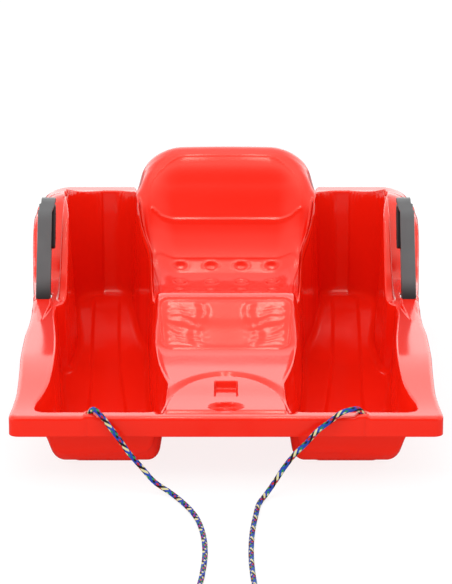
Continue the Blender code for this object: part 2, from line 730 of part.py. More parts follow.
def rope_tube(name, points, material, resolution):
    curve = bpy.data.curves.new(name, "CURVE")
    curve.dimensions = "3D"
    curve.bevel_depth = rope_diameter / 2
    curve.bevel_resolution = resolution
    curve.use_fill_caps = True
    spline = curve.splines.new("POLY")
    spline.points.add(len(points) - 1)
    for k, p in enumerate(points):
        spline.points[k].co = (p[0], p[1] - sled_length / 2, p[2], 1.0)
    curve.materials.append(material)
    obj = bpy.data.objects.new(name, curve)
    bpy.context.collection.objects.link(obj)
    return obj


def scaled_route(points):
    return [(x * across, y * along, max(z * up, rope_diameter / 2)) for x, y, z in points]


def left_route():
    r = rope_diameter / 2
    start = [(-eyelet_x, eyelet_y, rim_top - 0.0096), (-eyelet_x, eyelet_y, rim_top - 0.0025)]
    over = scaled_route([
        (-0.1560, 0.0085, 0.0828), (-0.1525, 0.0045, 0.0868), (-0.1475, -0.0010, 0.0862),
        (-0.1415, -0.0045, 0.0805), (-0.1325, -0.0080, 0.0690), (-0.1220, -0.0110, 0.0555),
        (-0.1115, -0.0160, 0.0415), (-0.0970, -0.0230, 0.0265), (-0.0815, -0.0330, 0.0120),
        (-0.0640, -0.0470, 0.0045), (-0.0480, -0.0790, 0.0030), (-0.0335, -0.1240, 0.0030),
        (-0.0255, -0.1750, 0.0030), (-0.0225, -0.2350, 0.0030), (-0.0250, -0.3000, 0.0030),
        (-0.0300, -0.3600, 0.0030), (-0.0327, -0.4050, 0.0030)])
    end = [(-coil_radius, coil_y + 0.0300, r), (-coil_radius, coil_y + 0.0200, r),
           (-coil_radius, coil_y + rope_diameter, r)]
    return start + over + end


def right_route():
    r = rope_diameter / 2
    top = r + coil_turns * coil_pitch
    start = [(eyelet_x, eyelet_y, rim_top - 0.0096), (eyelet_x, eyelet_y, rim_top - 0.0025)]
    over = scaled_route([
        (0.1557, 0.0085, 0.0828), (0.1500, 0.0050, 0.0872), (0.1420, 0.0005, 0.0876),
        (0.1320, -0.0030, 0.0850), (0.1205, -0.0075, 0.0775), (0.1050, -0.0120, 0.0665),
        (0.0915, -0.0180, 0.0535), (0.0785, -0.0250, 0.0425), (0.0665, -0.0330, 0.0295),
        (0.0560, -0.0420, 0.0160), (0.0460, -0.0560, 0.0060), (0.0380, -0.0780, 0.0030),
        (0.0330, -0.1210, 0.0030), (0.0285, -0.1800, 0.0030), (0.0270, -0.2500, 0.0030),
        (0.0290, -0.3150, 0.0030), (0.0318, -0.3560, 0.0042), (0.0330, -0.3850, 0.0095)])
    end = [(coil_radius, coil_y + 0.0400, top - 0.0035), (coil_radius, coil_y + 0.0270, top - 0.0004),
           (coil_radius, coil_y + 0.0180, top), (coil_radius, coil_y + rope_diameter, top)]
    return start + over + end


def trim_end(points, gap):
    # Leaves a small gap at the last point, along its own direction
    out = np.array(points)
    step = out[-1] - out[-2]
    out[-1] = out[-1] - step / np.linalg.norm(step) * gap
    return out


def coil_points():
    points = []
    per_turn = 24
    total = int(per_turn * coil_turns)
    r = rope_diameter / 2
    for k in range(total + 1):
        turn = k / per_turn
        angle = math.pi + 2 * math.pi * turn
        level = r + coil_pitch * turn
        points.append((coil_radius * math.cos(angle), coil_y + coil_radius * math.sin(angle), level))
    first = points[0]
    last = points[-1]
    points.insert(0, (first[0], first[1] + rope_diameter, first[2]))
    points.append((last[0], last[1] + rope_diameter, last[2]))
    return np.array(points)


def coil_clearance(points):
    least = 1.0
    steps = np.linalg.norm(np.diff(points, axis=0), axis=1)
    run = np.concatenate([[0.0], np.cumsum(steps)])
    for k in range(len(points)):
        away = np.abs(run - run[k]) > rope_diameter * 4
        if away.any():
            least = min(least, np.min(np.linalg.norm(points[away] - points[k], axis=1)))
    print("coil clearance mm", round((least - rope_diameter) * 1000, 2))
    return least


def build_knot(name, x, material):
    # Overhand knot drawn tight, as three strands wound round a core
    mesh = bpy.data.meshes.new(name)
    work = bmesh.new()
    bmesh.ops.create_icosphere(work, subdivisions=3, radius=1.0)
    for v in work.verts:
        p = v.co.copy()
        angle = math.atan2(p.y, p.x)
        wave = abs(math.sin(1.5 * angle + 3.2 * p.z))
        swell = 0.86 + 0.14 * wave ** 0.6 * (1 - p.z * p.z)
        size = knot_radius * swell
        v.co = Vector((p.x * size, p.y * size * 0.94, p.z * size * 0.92))
    work.to_mesh(mesh)
    work.free()
    mesh.materials.append(material)
    for face in mesh.polygons:
        face.use_smooth = True
    obj = bpy.data.objects.new(name, mesh)
    bpy.context.collection.objects.link(obj)
    obj.location = (x, knot_y - sled_length / 2, knot_z)
    return obj


def build_rope(material):
    spacing = rope_diameter * 2.4
    left, left_run = smooth_route(left_route(), spacing)
    right, right_run = smooth_route(right_route(), spacing)
    coil = coil_points()
    coil_clearance(coil)
    rope_tube("rope_left", trim_end(left, rope_gap), material, 2)
    rope_tube("rope_right", trim_end(right, rope_gap), material, 2)
    rope_tube("rope_coil", coil, material, 1)
    build_knot("rope_knot_left", -eyelet_x, material)
    build_knot("rope_knot_right", eyelet_x, material)
    coil_run = float(np.sum(np.linalg.norm(np.diff(coil, axis=0), axis=1)))
    print("rope length m", round(left_run + right_run + coil_run, 3))


clear_scene()
shell_plastic = make_material("shell_plastic", shell_red, 0.28, 0.0)
brake_plastic = make_material("brake_plastic", brake_grey, 0.45, 0.0)
steel = make_material("pin_steel", pin_steel, 0.35, 1.0)
rope_fibre = make_material("rope_fibre", rope_blue, 0.85, 0.0)
the_shell = build_shell(shell_plastic)
finish_shell(the_shell)
for the_side, the_name in ((-1, "left"), (1, "right")):
    build_lever(the_side, "brake_lever_" + the_name, brake_plastic)
    build_pin(the_side, "brake_pin_" + the_name, steel)
    build_cap(the_side, "pin_cap_" + the_name, steel)
build_rope(rope_fibre)
bpy.context.view_layer.update()
for thing in bpy.data.objects:
    if thing.type == "MESH":
        thing.data.calc_loop_triangles()
        print(thing.name, len(thing.data.loop_triangles))
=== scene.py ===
import bpy
import bmesh
import json
import math
import numpy as np
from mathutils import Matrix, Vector

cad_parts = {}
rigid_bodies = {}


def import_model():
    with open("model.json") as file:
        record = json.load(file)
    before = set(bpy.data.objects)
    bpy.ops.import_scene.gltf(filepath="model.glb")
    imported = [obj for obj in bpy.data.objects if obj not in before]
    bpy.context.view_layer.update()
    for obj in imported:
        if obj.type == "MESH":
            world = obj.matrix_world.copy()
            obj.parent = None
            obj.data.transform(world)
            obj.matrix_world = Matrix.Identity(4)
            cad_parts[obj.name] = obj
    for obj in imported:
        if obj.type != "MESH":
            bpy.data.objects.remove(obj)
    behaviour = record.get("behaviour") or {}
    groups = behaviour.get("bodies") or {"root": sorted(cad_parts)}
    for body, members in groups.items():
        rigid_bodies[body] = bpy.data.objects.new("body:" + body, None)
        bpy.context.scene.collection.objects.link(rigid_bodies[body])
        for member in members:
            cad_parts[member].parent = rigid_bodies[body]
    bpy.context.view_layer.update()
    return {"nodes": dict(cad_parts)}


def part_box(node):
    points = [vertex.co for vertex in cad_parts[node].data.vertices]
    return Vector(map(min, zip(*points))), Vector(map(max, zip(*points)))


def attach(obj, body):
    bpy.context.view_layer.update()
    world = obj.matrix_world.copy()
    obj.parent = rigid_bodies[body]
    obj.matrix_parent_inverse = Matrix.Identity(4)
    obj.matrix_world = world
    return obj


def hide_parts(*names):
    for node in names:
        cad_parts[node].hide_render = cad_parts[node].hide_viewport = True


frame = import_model()
shellLow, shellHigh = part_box("shell")
print("frame loaded")

cameraValues = {
    "place": (0.0, -3.4091, 1.0708), "tiltDown": 15.5,
    "lens": 171.6, "sensorWidth": 36, "clipEnd": 50,
}


def makeCamera():
    cv = cameraValues
    data = bpy.data.cameras.new("photoCamera")
    data.lens, data.sensor_width, data.clip_end = cv["lens"], cv["sensorWidth"], cv["clipEnd"]
    camera = bpy.data.objects.new("photoCamera", data)
    bpy.context.collection.objects.link(camera)
    camera.location = cv["place"]
    camera.rotation_euler = (math.radians(90 - cv["tiltDown"]), 0, 0)
    bpy.context.scene.camera = camera


makeCamera()
print("camera placed")


def newMaterial(name):
    material = bpy.data.materials.new(name)
    material.use_nodes = True
    return material, material.node_tree, material.node_tree.nodes["Principled BSDF"]


def feed(tree, node, sockets):  # each socket gets a plain value or another node's output
    for spot, value in sockets.items():
        if isinstance(value, (int, float, tuple)):
            node.inputs[spot].default_value = value
        else:
            tree.links.new(value, node.inputs[spot])


def addNode(tree, kind, sockets, **settings):
    node = tree.nodes.new(kind)
    for name, value in settings.items():
        setattr(node, name, value)
    feed(tree, node, sockets)
    return node


def mathNode(tree, operation, first, second=0.5, clamp=False):
    node = addNode(tree, "ShaderNodeMath", {0: first, 1: second}, operation=operation, use_clamp=clamp)
    return node.outputs[0]


def mixColour(tree, factor, first, second):
    return addNode(tree, "ShaderNodeMix", {0: factor, 6: first, 7: second}, data_type="RGBA").outputs[2]


def scaleColour(tree, colour, factor):
    return addNode(tree, "ShaderNodeVectorMath", {0: colour, "Scale": factor}, operation="SCALE").outputs[0]


def noiseNode(tree, place, size, detail=2.0, roughness=0.5):
    sockets = {"Vector": place, "Scale": size, "Detail": detail, "Roughness": roughness}
    return addNode(tree, "ShaderNodeTexNoise", sockets).outputs["Fac"]


def smoothRamp(tree, source, low, high, start, end):
    sockets = {"Value": source, "From Min": low, "From Max": high, "To Min": start, "To Max": end}
    return addNode(tree, "ShaderNodeMapRange", sockets, interpolation_type="SMOOTHSTEP").outputs["Result"]


def bumpNode(tree, height, values):
    sockets = {"Height": height, "Strength": values["bumpStrength"], "Distance": values["bumpDepth"]}
    return addNode(tree, "ShaderNodeBump", sockets).outputs["Normal"]


def placeNode(tree, kind="Object"):
    return tree.nodes.new("ShaderNodeTexCoord").outputs[kind]


mouldedInputs = ("colour", "tintDrift", "roughness", "roughDrift", "swellSize", "grainSize", "grainShare")


def makeMouldedGroup():
    # Moulded plastic skin: slow swells in the surface, fine grain and a drift in tint and gloss
    group = bpy.data.node_groups.new("mouldedSkin", "ShaderNodeTree")
    for way, names in (("INPUT", mouldedInputs), ("OUTPUT", ("colour", "roughness", "height"))):
        for name in names:
            kind = "NodeSocketColor" if name == "colour" else "NodeSocketFloat"
            group.interface.new_socket(name=name, in_out=way, socket_type=kind)
    given = group.nodes.new("NodeGroupInput").outputs
    swell = noiseNode(group, placeNode(group), given["swellSize"], 1.5, 0.35)
    grain = noiseNode(group, placeNode(group), given["grainSize"])
    drift = mathNode(group, "SUBTRACT", swell, 0.5)
    shade = mathNode(group, "ADD", mathNode(group, "MULTIPLY", drift, given["tintDrift"]), 1.0)
    rough = mathNode(group, "MULTIPLY", drift, given["roughDrift"])
    rough = mathNode(group, "ADD", rough, given["roughness"], clamp=True)
    height = mathNode(group, "ADD", swell, mathNode(group, "MULTIPLY", grain, given["grainShare"]))
    made = {"colour": scaleColour(group, given["colour"], shade), "roughness": rough, "height": height}
    addNode(group, "NodeGroupOutput", made)
    return group


mouldedGroup = makeMouldedGroup()


def makeMoulded(name, values):
    material, tree, shader = newMaterial(name)
    sockets = {key: values[key] for key in mouldedInputs}
    skin = addNode(tree, "ShaderNodeGroup", sockets, node_tree=mouldedGroup).outputs
    colour = skin["colour"]
    # painted shade: near the piece's lower end the base colour is mixed toward a dark copy, standing in for
    # shade and dark reflection there
    if "footShade" in values:  # the piece darkens toward its lower end
        height = addNode(tree, "ShaderNodeSeparateXYZ", {0: placeNode(tree)}).outputs["Z"]
        dark = tuple(0.1 * part for part in values["colour"][:3]) + (1,)
        colour = mixColour(tree, smoothRamp(tree, height, *values["footShade"], 0.0), colour, dark)
    bump = bumpNode(tree, skin["height"], values)
    feed(tree, shader, {"Base Color": colour, "Roughness": skin["roughness"], "Normal": bump})
    if "mirrorTint" in values:
        feed(tree, shader, {"Specular Tint": values["mirrorTint"], "IOR": 1.5})
    return material


# Main sizes come from the frame; the stations below are written for a sled 740 mm long
sledLength = shellHigh.y - shellLow.y
along = sledLength / 0.74
across = (shellHigh.x - shellLow.x) / 0.52
up = shellHigh.z / 0.253

shellShape = {  # sizes by the main size that they follow
    "none": {
        "wall": 0.003, "keelFloor": 0.003, "slotCorner": 0.003, "eyeletRadius": 0.0044, "meshStep": 0.0018},
    "along": {
        "wellFront": 0.016, "wellRear": 0.664, "shoulderStart": 0.418, "recessShift": 0.104,
        "eyeletY": 0.0095, "pivotY": 0.425},
    "across": {
        "lip": 0.005, "frontCorner": 0.012, "rearCorner": 0.06, "wellCorner": 0.018, "wellRun": 0.017,
        "frontRun": 0.0315, "padRun": 0.0245, "shoulderRun": 0.024, "ridgeGap": 0.0005,
        "edgeRadius": 0.0036, "footRadius": 0.01, "shoulderCorner": 0.066, "ridgeCorner": 0.036,
        "shoulderRound": 0.048, "recessX": 0.217, "recessEdge": 0.0025, "slotInner": 0.2264,
        "slotOuter": 0.2458, "eyeletX": 0.157},
    "up": {
        "shoulderFall": 0.03, "keelDepth": 0.0036, "rimTop": 0.079, "flangeTop": 0.1, "rimBottom": 0.055,
        "flangeBottom": 0.082, "tailBottom": 0.09, "tailFlange": 0.112, "shoulderTop": 0.204,
        "bandTop": 0.188, "recessDrop": 0.004, "slotAhead": 0.0187, "slotBehind": 0.033, "pivotZ": 0.083},
}
ss = {}
for word, scale in (("none", 1.0), ("along", along), ("across", across), ("up", up)):
    ss.update({name: size * scale for name, size in shellShape[word].items()})
rearShare = 0.4  # how much of the shoulder's wall run the rear wall takes


def softStep(value, low, high):
    t = np.clip((value - low) / (high - low), 0.0, 1.0)
    return t * t * (3.0 - 2.0 * t)


def blendLine(value, stations, heights):
    xs, ys = np.array(stations), np.array(heights)
    step = np.diff(xs)
    slope = np.diff(ys) / step
    tangent = np.zeros(len(xs))
    for k in range(1, len(xs) - 1):
        if slope[k - 1] * slope[k] > 0:
            first, second = 2 * step[k] + step[k - 1], step[k] + 2 * step[k - 1]
            tangent[k] = (first + second) / (first / slope[k - 1] + second / slope[k])
    v = np.clip(value, xs[0], xs[-1])
    spot = np.clip(np.searchsorted(xs, v, side="right") - 1, 0, len(step) - 1)
    t = (v - xs[spot]) / step[spot]
    return ((1 + 2 * t) * (1 - t) ** 2 * ys[spot] + t * (1 - t) ** 2 * step[spot] * tangent[spot]
            + t * t * (3 - 2 * t) * ys[spot + 1] + t * t * (t - 1) * step[spot] * tangent[spot + 1])


def acrossLine(y, stations, widths):
    return blendLine(y / along, stations, widths) * across


def alongStep(y, low, high):
    return softStep(y, low * along, high * along)


def halfWidth(y):
    return acrossLine(
        y, [0.0, 0.02, 0.045, 0.085, 0.14, 0.2, 0.275, 0.335, 0.4, 0.45, 0.5, 0.55, 0.6, 0.67, 0.74],
        [0.2506, 0.25, 0.2482, 0.2462, 0.2472, 0.2493, 0.2498, 0.2476, 0.2476, 0.2497, 0.254, 0.2575,
         0.26, 0.26, 0.256])


def ridgeHalf(y):
    return acrossLine(
        y, [0.0, 0.014, 0.03, 0.055, 0.085, 0.105, 0.13, 0.16, 0.2, 0.235, 0.29, 0.36, 0.45, 0.49, 0.507,
            0.525, 0.545, 0.58, 0.6, 0.74],
        [0.076, 0.0755, 0.0735, 0.069, 0.0655, 0.0655, 0.07, 0.076, 0.0805, 0.0835, 0.0868, 0.0895,
         0.0925, 0.095, 0.0985, 0.1035, 0.1085, 0.114, 0.1165, 0.1165])


ridgeProfile = [
    (0.0, 0.079), (0.03, 0.08), (0.06, 0.0815), (0.1, 0.085), (0.15, 0.0885), (0.2, 0.092),
    (0.222, 0.096), (0.245, 0.108), (0.27, 0.128), (0.29, 0.14), (0.303, 0.1425), (0.318, 0.1405),
    (0.345, 0.127), (0.38, 0.11), (0.42, 0.102), (0.45, 0.1), (0.48, 0.101), (0.5, 0.105),
    (0.52, 0.113), (0.54, 0.13), (0.56, 0.154), (0.58, 0.183), (0.6, 0.213), (0.618, 0.237),
    (0.632, 0.249), (0.646, 0.253), (0.662, 0.249), (0.68, 0.23), (0.7, 0.18), (0.728, 0.118),
    (0.74, 0.112)]


def ridgeTop(y):
    return blendLine(y / along, [p[0] for p in ridgeProfile], [p[1] for p in ridgeProfile]) * up


def flangeHeight(y):
    share = blendLine(y / along, [0.0, 0.02, 0.2, 0.42, 0.74], [0.0, 0.02, 0.86, 1.0, 1.0])
    return ss["rimTop"] + (ss["flangeTop"] - ss["rimTop"]) * share


def wellOuter(y):
    return acrossLine(
        y, [0.0, 0.045, 0.075, 0.11, 0.15, 0.19, 0.25, 0.31, 0.365, 0.394, 0.414, 0.44, 0.5, 0.6, 0.74],
        [0.225, 0.2238, 0.2175, 0.212, 0.21, 0.2095, 0.2118, 0.2162, 0.22, 0.2202, 0.2112, 0.2092,
         0.2095, 0.2195, 0.222])


def channelSides(y):
    stations = [0.0, 0.07, 0.25, 0.565, 0.74]
    inner = acrossLine(y, stations, [0.106, 0.1074, 0.124, 0.144, 0.147])
    return inner, acrossLine(y, stations, [0.176, 0.175, 0.171, 0.179, 0.18])


def shoulderHeight(x, y):
    low = flangeHeight(y)

    def slope(at, top):
        rise = blendLine(
            (at - ss["shoulderStart"]) / along, [0.0, 0.03, 0.06, 0.09, 0.15], [0.0, 0.3, 0.62, 0.86, 1.0])
        return low + (top - low) * rise

    inner = slope(y, ss["shoulderTop"])
    outer = slope(y - ss["recessShift"], ss["shoulderTop"] - ss["recessDrop"])
    mix = softStep(x, ss["recessX"] - ss["recessEdge"], ss["recessX"] + ss["recessEdge"])
    return inner * (1 - mix) + outer * mix


deckValues = {  # four numbers: a form begins, is full, wanes and ends; two numbers: one slope
    "bandRun": 0.06, "tailDrop": (0.684, 0.728), "fallRise": (0.5, 0.6),
    "lean": 0.0022, "leanPlace": (0.15, 0.28, 0.375, 0.4),
    "wedgeX": 0.2345, "wedgeHalf": 0.0105, "wedgeEdge": 0.0014, "wedgeHeight": 0.0058,
    "wedgePlace": (0.312, 0.387), "climbPlace": (0.325, 0.404), "wedgeEnd": (0.413, 0.428),
    "topRound": 0.003, "backRise": (0.6, 0.64), "dish": 0.01, "dishPlace": (0.44, 0.54, 0.6, 0.64),
    "dishEdge": (0.6, 0.92), "ridgeEdge": (0.015, 0.002), "seatEdge": 0.0036, "seatEdgeRise": (0.19, 0.27),
    "backEdge": 0.0028, "backEdgeRise": (0.45, 0.54),
    "crown": 0.062, "crownPlace": (0.575, 0.635, 0.7, 0.73), "crownEdge": (0.058, 0.006),
    "blend": (-0.004, 0.01),
}
dk = deckValues


def straightRise(y, start, end):
    return np.clip((y / along - start) / (end - start), 0, 1)


def stretch(y, start, full, wane, end):
    return alongStep(y, start, full) * (1 - alongStep(y, wane, end))


def roundFall(share):  # quarter of a circle, 0 to 1
    return 1 - np.sqrt(np.maximum(1 - share * share, 0.0))


def sideHeight(x, y):
    side = shoulderHeight(x, y)
    band = softStep(y, ss["wellRear"] - dk["bandRun"] * along, ss["wellRear"])
    side = side * (1 - band) + ss["bandTop"] * band
    drop = alongStep(y, *dk["tailDrop"])
    side = side * (1 - drop) + ss["tailFlange"] * drop
    inner, outer = wellOuter(y), halfWidth(y)
    bend = np.clip((x - (outer - ss["shoulderRound"])) / (ss["shoulderRound"] - ss["lip"]), 0.0, 1.0)
    fall = ss["shoulderFall"] * alongStep(y, *dk["fallRise"]) * (1 - drop)
    side = side - fall * roundFall(bend)  # shoulders fall away in a wide round
    outward = np.clip((x - inner) / (outer - inner), 0, 1)
    lean = dk["lean"] * up * stretch(y, *dk["leanPlace"])
    side = side - lean * (outward - 0.35)  # flange leans a little outward beside the legs
    # Wedge that widens and rises to the brake's slot
    wide = dk["wedgeHalf"] * across * straightRise(y, *dk["wedgePlace"])
    edge = dk["wedgeEdge"] * across
    wedge = 1 - softStep(np.abs(x - dk["wedgeX"] * across), wide - edge, wide + edge)
    climb = dk["wedgeHeight"] * up * wedge * straightRise(y, *dk["climbPlace"])
    return side + climb * (1 - alongStep(y, *dk["wedgeEnd"]))


def centreHeight(x, y):
    half = ridgeHalf(y)

    def past(inset, beyond):  # share of the way from inside the ridge's edge to beyond it
        return (x - (half - inset * across)) / ((inset + beyond) * across)

    centre = ridgeTop(y) - dk["topRound"] * up * (x / half) ** 2 * alongStep(y, *dk["backRise"])
    dish = dk["dish"] * up * stretch(y, *dk["dishPlace"])
    centre = centre + dish * (softStep(x / half, *dk["dishEdge"]) - 0.35)
    soft = dk["seatEdge"] * alongStep(y, *dk["seatEdgeRise"])
    soft = soft + dk["backEdge"] * alongStep(y, *dk["backEdgeRise"])
    centre = centre - soft * up * np.clip(past(*dk["ridgeEdge"]), 0.0, 1.3) ** 2
    crown = dk["crown"] * up * stretch(y, *dk["crownPlace"])
    return centre - crown * roundFall(np.clip(past(*dk["crownEdge"]), 0.0, 0.99))


def deckHeight(x, y):
    mix = softStep((x - ridgeHalf(y)) / across, *dk["blend"])
    return centreHeight(x, y) * (1 - mix) + sideHeight(x, y) * mix


padValues = {
    "half": 0.072, "start": 0.014, "length": 0.116, "rise": 0.003, "grooveDepth": 0.005,
    "squareDepth": 0.008, "squareSide": (0.012, 0.014), "squarePlace": (0.061, 0.063, 0.105, 0.109),
    "crescentDepth": 0.006, "crescentY": 0.028, "crescentHalf": (0.0215, 0.015),
}


def padHeight(x, y):
    pv = padValues
    u, v = x / across, y / along
    reach = np.sqrt((u / pv["half"]) ** 2 + (np.maximum(v - pv["start"], 0.0) / pv["length"]) ** 2)
    raised = pv["rise"] * (1 - softStep(reach, 0.955, 0.99)) * softStep(v, 0.008, 0.018)
    sunk = pv["grooveDepth"] * softStep(reach, 0.98, 1.02) * (1 - softStep(reach, 1.06, 1.17))
    sunk = sunk * softStep(v, 0.008, 0.03)
    square = (1 - softStep(u, *pv["squareSide"])) * stretch(y, *pv["squarePlace"])
    halfU, halfV = pv["crescentHalf"]
    crescent = np.sqrt((u / halfU) ** 2 + ((v - pv["crescentY"]) / halfV) ** 2)
    pocket = pv["squareDepth"] * square + pv["crescentDepth"] * (1 - softStep(crescent, 0.82, 1.0))
    return (raised - sunk - pocket) * up


def roundedBox(u, v, halfU, halfV, radius):
    # Distance inside a rounded rectangle round the origin
    a, b = np.abs(u) - (halfU - radius), np.abs(v) - (halfV - radius)
    outside = np.sqrt(np.maximum(a, 0) ** 2 + np.maximum(b, 0) ** 2)
    return radius - outside - np.minimum(np.maximum(a, b), 0)


def bead(distance, width):
    # Small rounded ridge, 1 high, where the distance is 0
    return np.exp(-(distance / (width / 2)) ** 2)


detailValues = {
    "seatPanel": (0.2555, 0.0345, 0.013), "panelHalf": 0.08, "panelSlant": 0.1,
    "panelDepth": 0.0016, "panelBead": 0.0013,
    "ripple": 0.00026, "rippleLength": 0.0088, "bends": ((2.4, 62, 0), (1.1, 47, 150), (0.6, 240, -150)),
    "fold": 3.2, "foldX": 0.033, "foldSway": 0.006, "foldWaves": 110, "foldWidth": 0.013,
    "dimpleRows": ((0.531, 0.0105, 0.0052), (0.503, 0.0085, 0.0066), (0.479, 0.007, 0.006)),
    "dimpleColumns": (0.02, 0.0605), "dimpleDepth": 0.0021, "dimpleRim": 0.25,
    "seatOutline": (0.47, 0.069, 0.014), "seatInset": 0.0085, "seatStep": 0.0012,
    "backCrease": 0.5725, "creaseHeight": 0.0018, "creaseTurn": 0.004,
    "backOutline": (0.2, 0.104, 0.0465, 0.052), "backLine": 0.0008,
    "eyeletRing": 0.0024, "eyeletRingEdge": (0.0076, 0.0088),
}


def seatDetail(x, y):
    dv = detailValues
    u, v = x / across, y / along
    height = np.zeros_like(u)
    # Outlined panel on the seat's front block, with fine ripples and a soft fold on each side
    middle, halfV, radius = dv["seatPanel"]
    inside = roundedBox(u, v - middle, dv["panelHalf"] + dv["panelSlant"] * (v - middle), halfV, radius)
    height -= dv["panelDepth"] * softStep(inside, -0.001, 0.0022)
    height += dv["panelBead"] * bead(inside + 0.0012, 0.0028)
    bend = sum(size * np.sin(sideways * u + lengthwise * v) for size, sideways, lengthwise in dv["bends"])
    ripple = np.sin(2 * math.pi * v / dv["rippleLength"] + bend) * softStep(inside, 0.004, 0.016)
    height += dv["ripple"] * ripple * softStep(np.abs(u), 0.018, 0.04)
    fold = bead(np.abs(u) - dv["foldX"] - dv["foldSway"] * np.sin(dv["foldWaves"] * v), dv["foldWidth"])
    height += dv["fold"] * dv["ripple"] * fold * softStep(inside, 0.002, 0.012)
    # Rows of shallow dimples on the seat
    for row, wide, deep in dv["dimpleRows"]:
        for column in dv["dimpleColumns"]:
            reach = np.sqrt(((u - column) / wide) ** 2 + ((v - row) / deep) ** 2)
            height -= dv["dimpleDepth"] * (1 - softStep(reach, 0.45, 0.95))
            height += dv["dimpleRim"] * dv["dimpleDepth"] * bead(reach - 1.05, 0.35)
    # The seat's panel ends in a step below the back
    middle, halfV, radius = dv["seatOutline"]
    seat = roundedBox(u, v - middle, ridgeHalf(y) / across - dv["seatInset"], halfV, radius)
    height -= dv["seatStep"] * softStep(seat, -0.0008, 0.0018) * softStep(v, 0.43, 0.46)
    # Crease across the back, with its ends turned up
    ends = dv["creaseTurn"] * softStep(u, 0.084, 0.1)
    crease = bead(v - dv["backCrease"] - ends, 0.0024) * (1 - softStep(u, 0.098, 0.102))
    height += dv["creaseHeight"] * crease
    # Fine line inside the back's rounded rim
    middle, halfU, halfV, radius = dv["backOutline"]
    rim = roundedBox(u, ridgeTop(y) / up - middle, halfU, halfV, radius)
    rim = np.where(v < 0.65, rim, 0.05)
    height += dv["backLine"] * bead(rim, 0.0022) * softStep(v, 0.585, 0.6)
    return height * up


def rimDetail(x, y):
    # Raised ring round each eyelet
    reach = np.hypot(x - ss["eyeletX"], y - ss["eyeletY"])
    return detailValues["eyeletRing"] * (1 - softStep(reach, *detailValues["eyeletRingEdge"]))


floorValues = {
    "channelEdge": 0.0026, "channelPlace": (0.058, 0.085, 0.6, 0.64),
    "rearLift": 0.04, "rearRise": (0.44, 0.64), "rearCurve": 1.6,
    "frontLift": 0.024, "frontFall": (0.028, 0.084),
}


def floorHeight(x, y):
    fv = floorValues
    (inner, outer), edge = channelSides(y), fv["channelEdge"] * across
    groove = softStep(x, inner - edge, inner + edge) * (1 - softStep(x, outer - edge, outer + edge))
    groove = groove * stretch(y, *fv["channelPlace"])
    lift = fv["rearLift"] * up * alongStep(y, *fv["rearRise"]) ** fv["rearCurve"]
    front = fv["frontLift"] * up * (1 - alongStep(y, *fv["frontFall"])) ** 2
    return ss["keelFloor"] + ss["keelDepth"] * (1 - groove) + lift + front


def outerWallRun(y):
    ahead = (ss["frontRun"] - ss["wellRun"]) * (1 - alongStep(y, 0.07, 0.21))
    return ss["wellRun"] + ahead + (ss["shoulderRun"] - ss["wellRun"]) * alongStep(y, 0.4, 0.56)


def innerWallRun(y):
    return ss["wellRun"] + (ss["padRun"] - ss["wellRun"]) * (1 - alongStep(y, 0.12, 0.22))


def wellRun(x, y):
    outer = softStep((x - ridgeHalf(y)) / (wellOuter(y) - ridgeHalf(y)), 0.35, 0.65)
    rear = alongStep(y, 0.56, 0.63) * rearShare
    return innerWallRun(y) + (outerWallRun(y) - innerWallRun(y)) * np.maximum(outer, rear)


def wellDistance(x, y):
    innerSide, outerSide = x - ridgeHalf(y) - ss["ridgeGap"], wellOuter(y) - x
    inward = np.minimum(innerSide, outerSide)
    back = np.minimum(y - ss["wellFront"], ss["wellRear"] - y)
    rearCorner = np.where(outerSide < innerSide, ss["shoulderCorner"], ss["ridgeCorner"])
    r = np.where(y < sledLength / 2, ss["wellCorner"], rearCorner)
    a, b = np.maximum(r - inward, 0.0), np.maximum(r - back, 0.0)
    rounded = r - np.sqrt(a * a + b * b)
    return np.where((a > 0) & (b > 0), rounded, np.minimum(inward, back))


def wallDrop(distance, run, depth):  # rounded edge, straight leaning wall, rounded foot
    top, low = ss["edgeRadius"], ss["footRadius"]
    lean = np.arcsin((top + low) / np.hypot(run, depth - top - low)) + np.arctan2(depth - top - low, run)
    d = np.clip(distance, 0.0, run)
    edgeEnd, footStart = top * np.sin(lean), run - low * np.sin(lean)
    edge = top - np.sqrt(top ** 2 - np.minimum(d, edgeEnd) ** 2)
    wall = top * (1 - np.cos(lean)) + (d - edgeEnd) * np.tan(lean)
    foot = depth - low + np.sqrt(low ** 2 - np.minimum(run - d, low) ** 2)
    return np.where(d < edgeEnd, edge, np.where(d < footStart, wall, foot))


def shellHeight(x, y, detail=1.0):
    deck = deckHeight(x, y) + padHeight(x, y) + detail * (seatDetail(x, y) + rimDetail(x, y))
    return deck - wallDrop(wellDistance(x, y), wellRun(x, y), deck - floorHeight(x, y))


def unit(vectors):
    return vectors / np.linalg.norm(vectors, axis=-1, keepdims=True)


def runAlong(points):  # length of the path up to each of its points
    return np.concatenate([[0.0], np.cumsum(np.linalg.norm(np.diff(points, axis=0), axis=1))])


def surfaceNormals(points):
    x, y, e = points[:, 0], points[:, 1], 0.0007
    acrossSlope = (shellHeight(np.abs(x + e), y) - shellHeight(np.abs(x - e), y)) / (2 * e)
    alongSlope = (shellHeight(np.abs(x), y + e) - shellHeight(np.abs(x), y - e)) / (2 * e)
    return unit(np.stack([-acrossSlope, -alongSlope, np.ones_like(x)], axis=1))


def holeDistance(x, y):  # below zero inside a brake slot or an eyelet
    middle, half = (ss["slotInner"] + ss["slotOuter"]) / 2, (ss["slotOuter"] - ss["slotInner"]) / 2
    behind, length = (ss["slotBehind"] - ss["slotAhead"]) / 2, (ss["slotBehind"] + ss["slotAhead"]) / 2
    slot = -roundedBox(np.abs(x) - middle, y - ss["pivotY"] - behind, half, length, ss["slotCorner"])
    eyelet = np.hypot(np.abs(x) - ss["eyeletX"], y - ss["eyeletY"]) - ss["eyeletRadius"]
    return np.minimum(slot, eyelet)


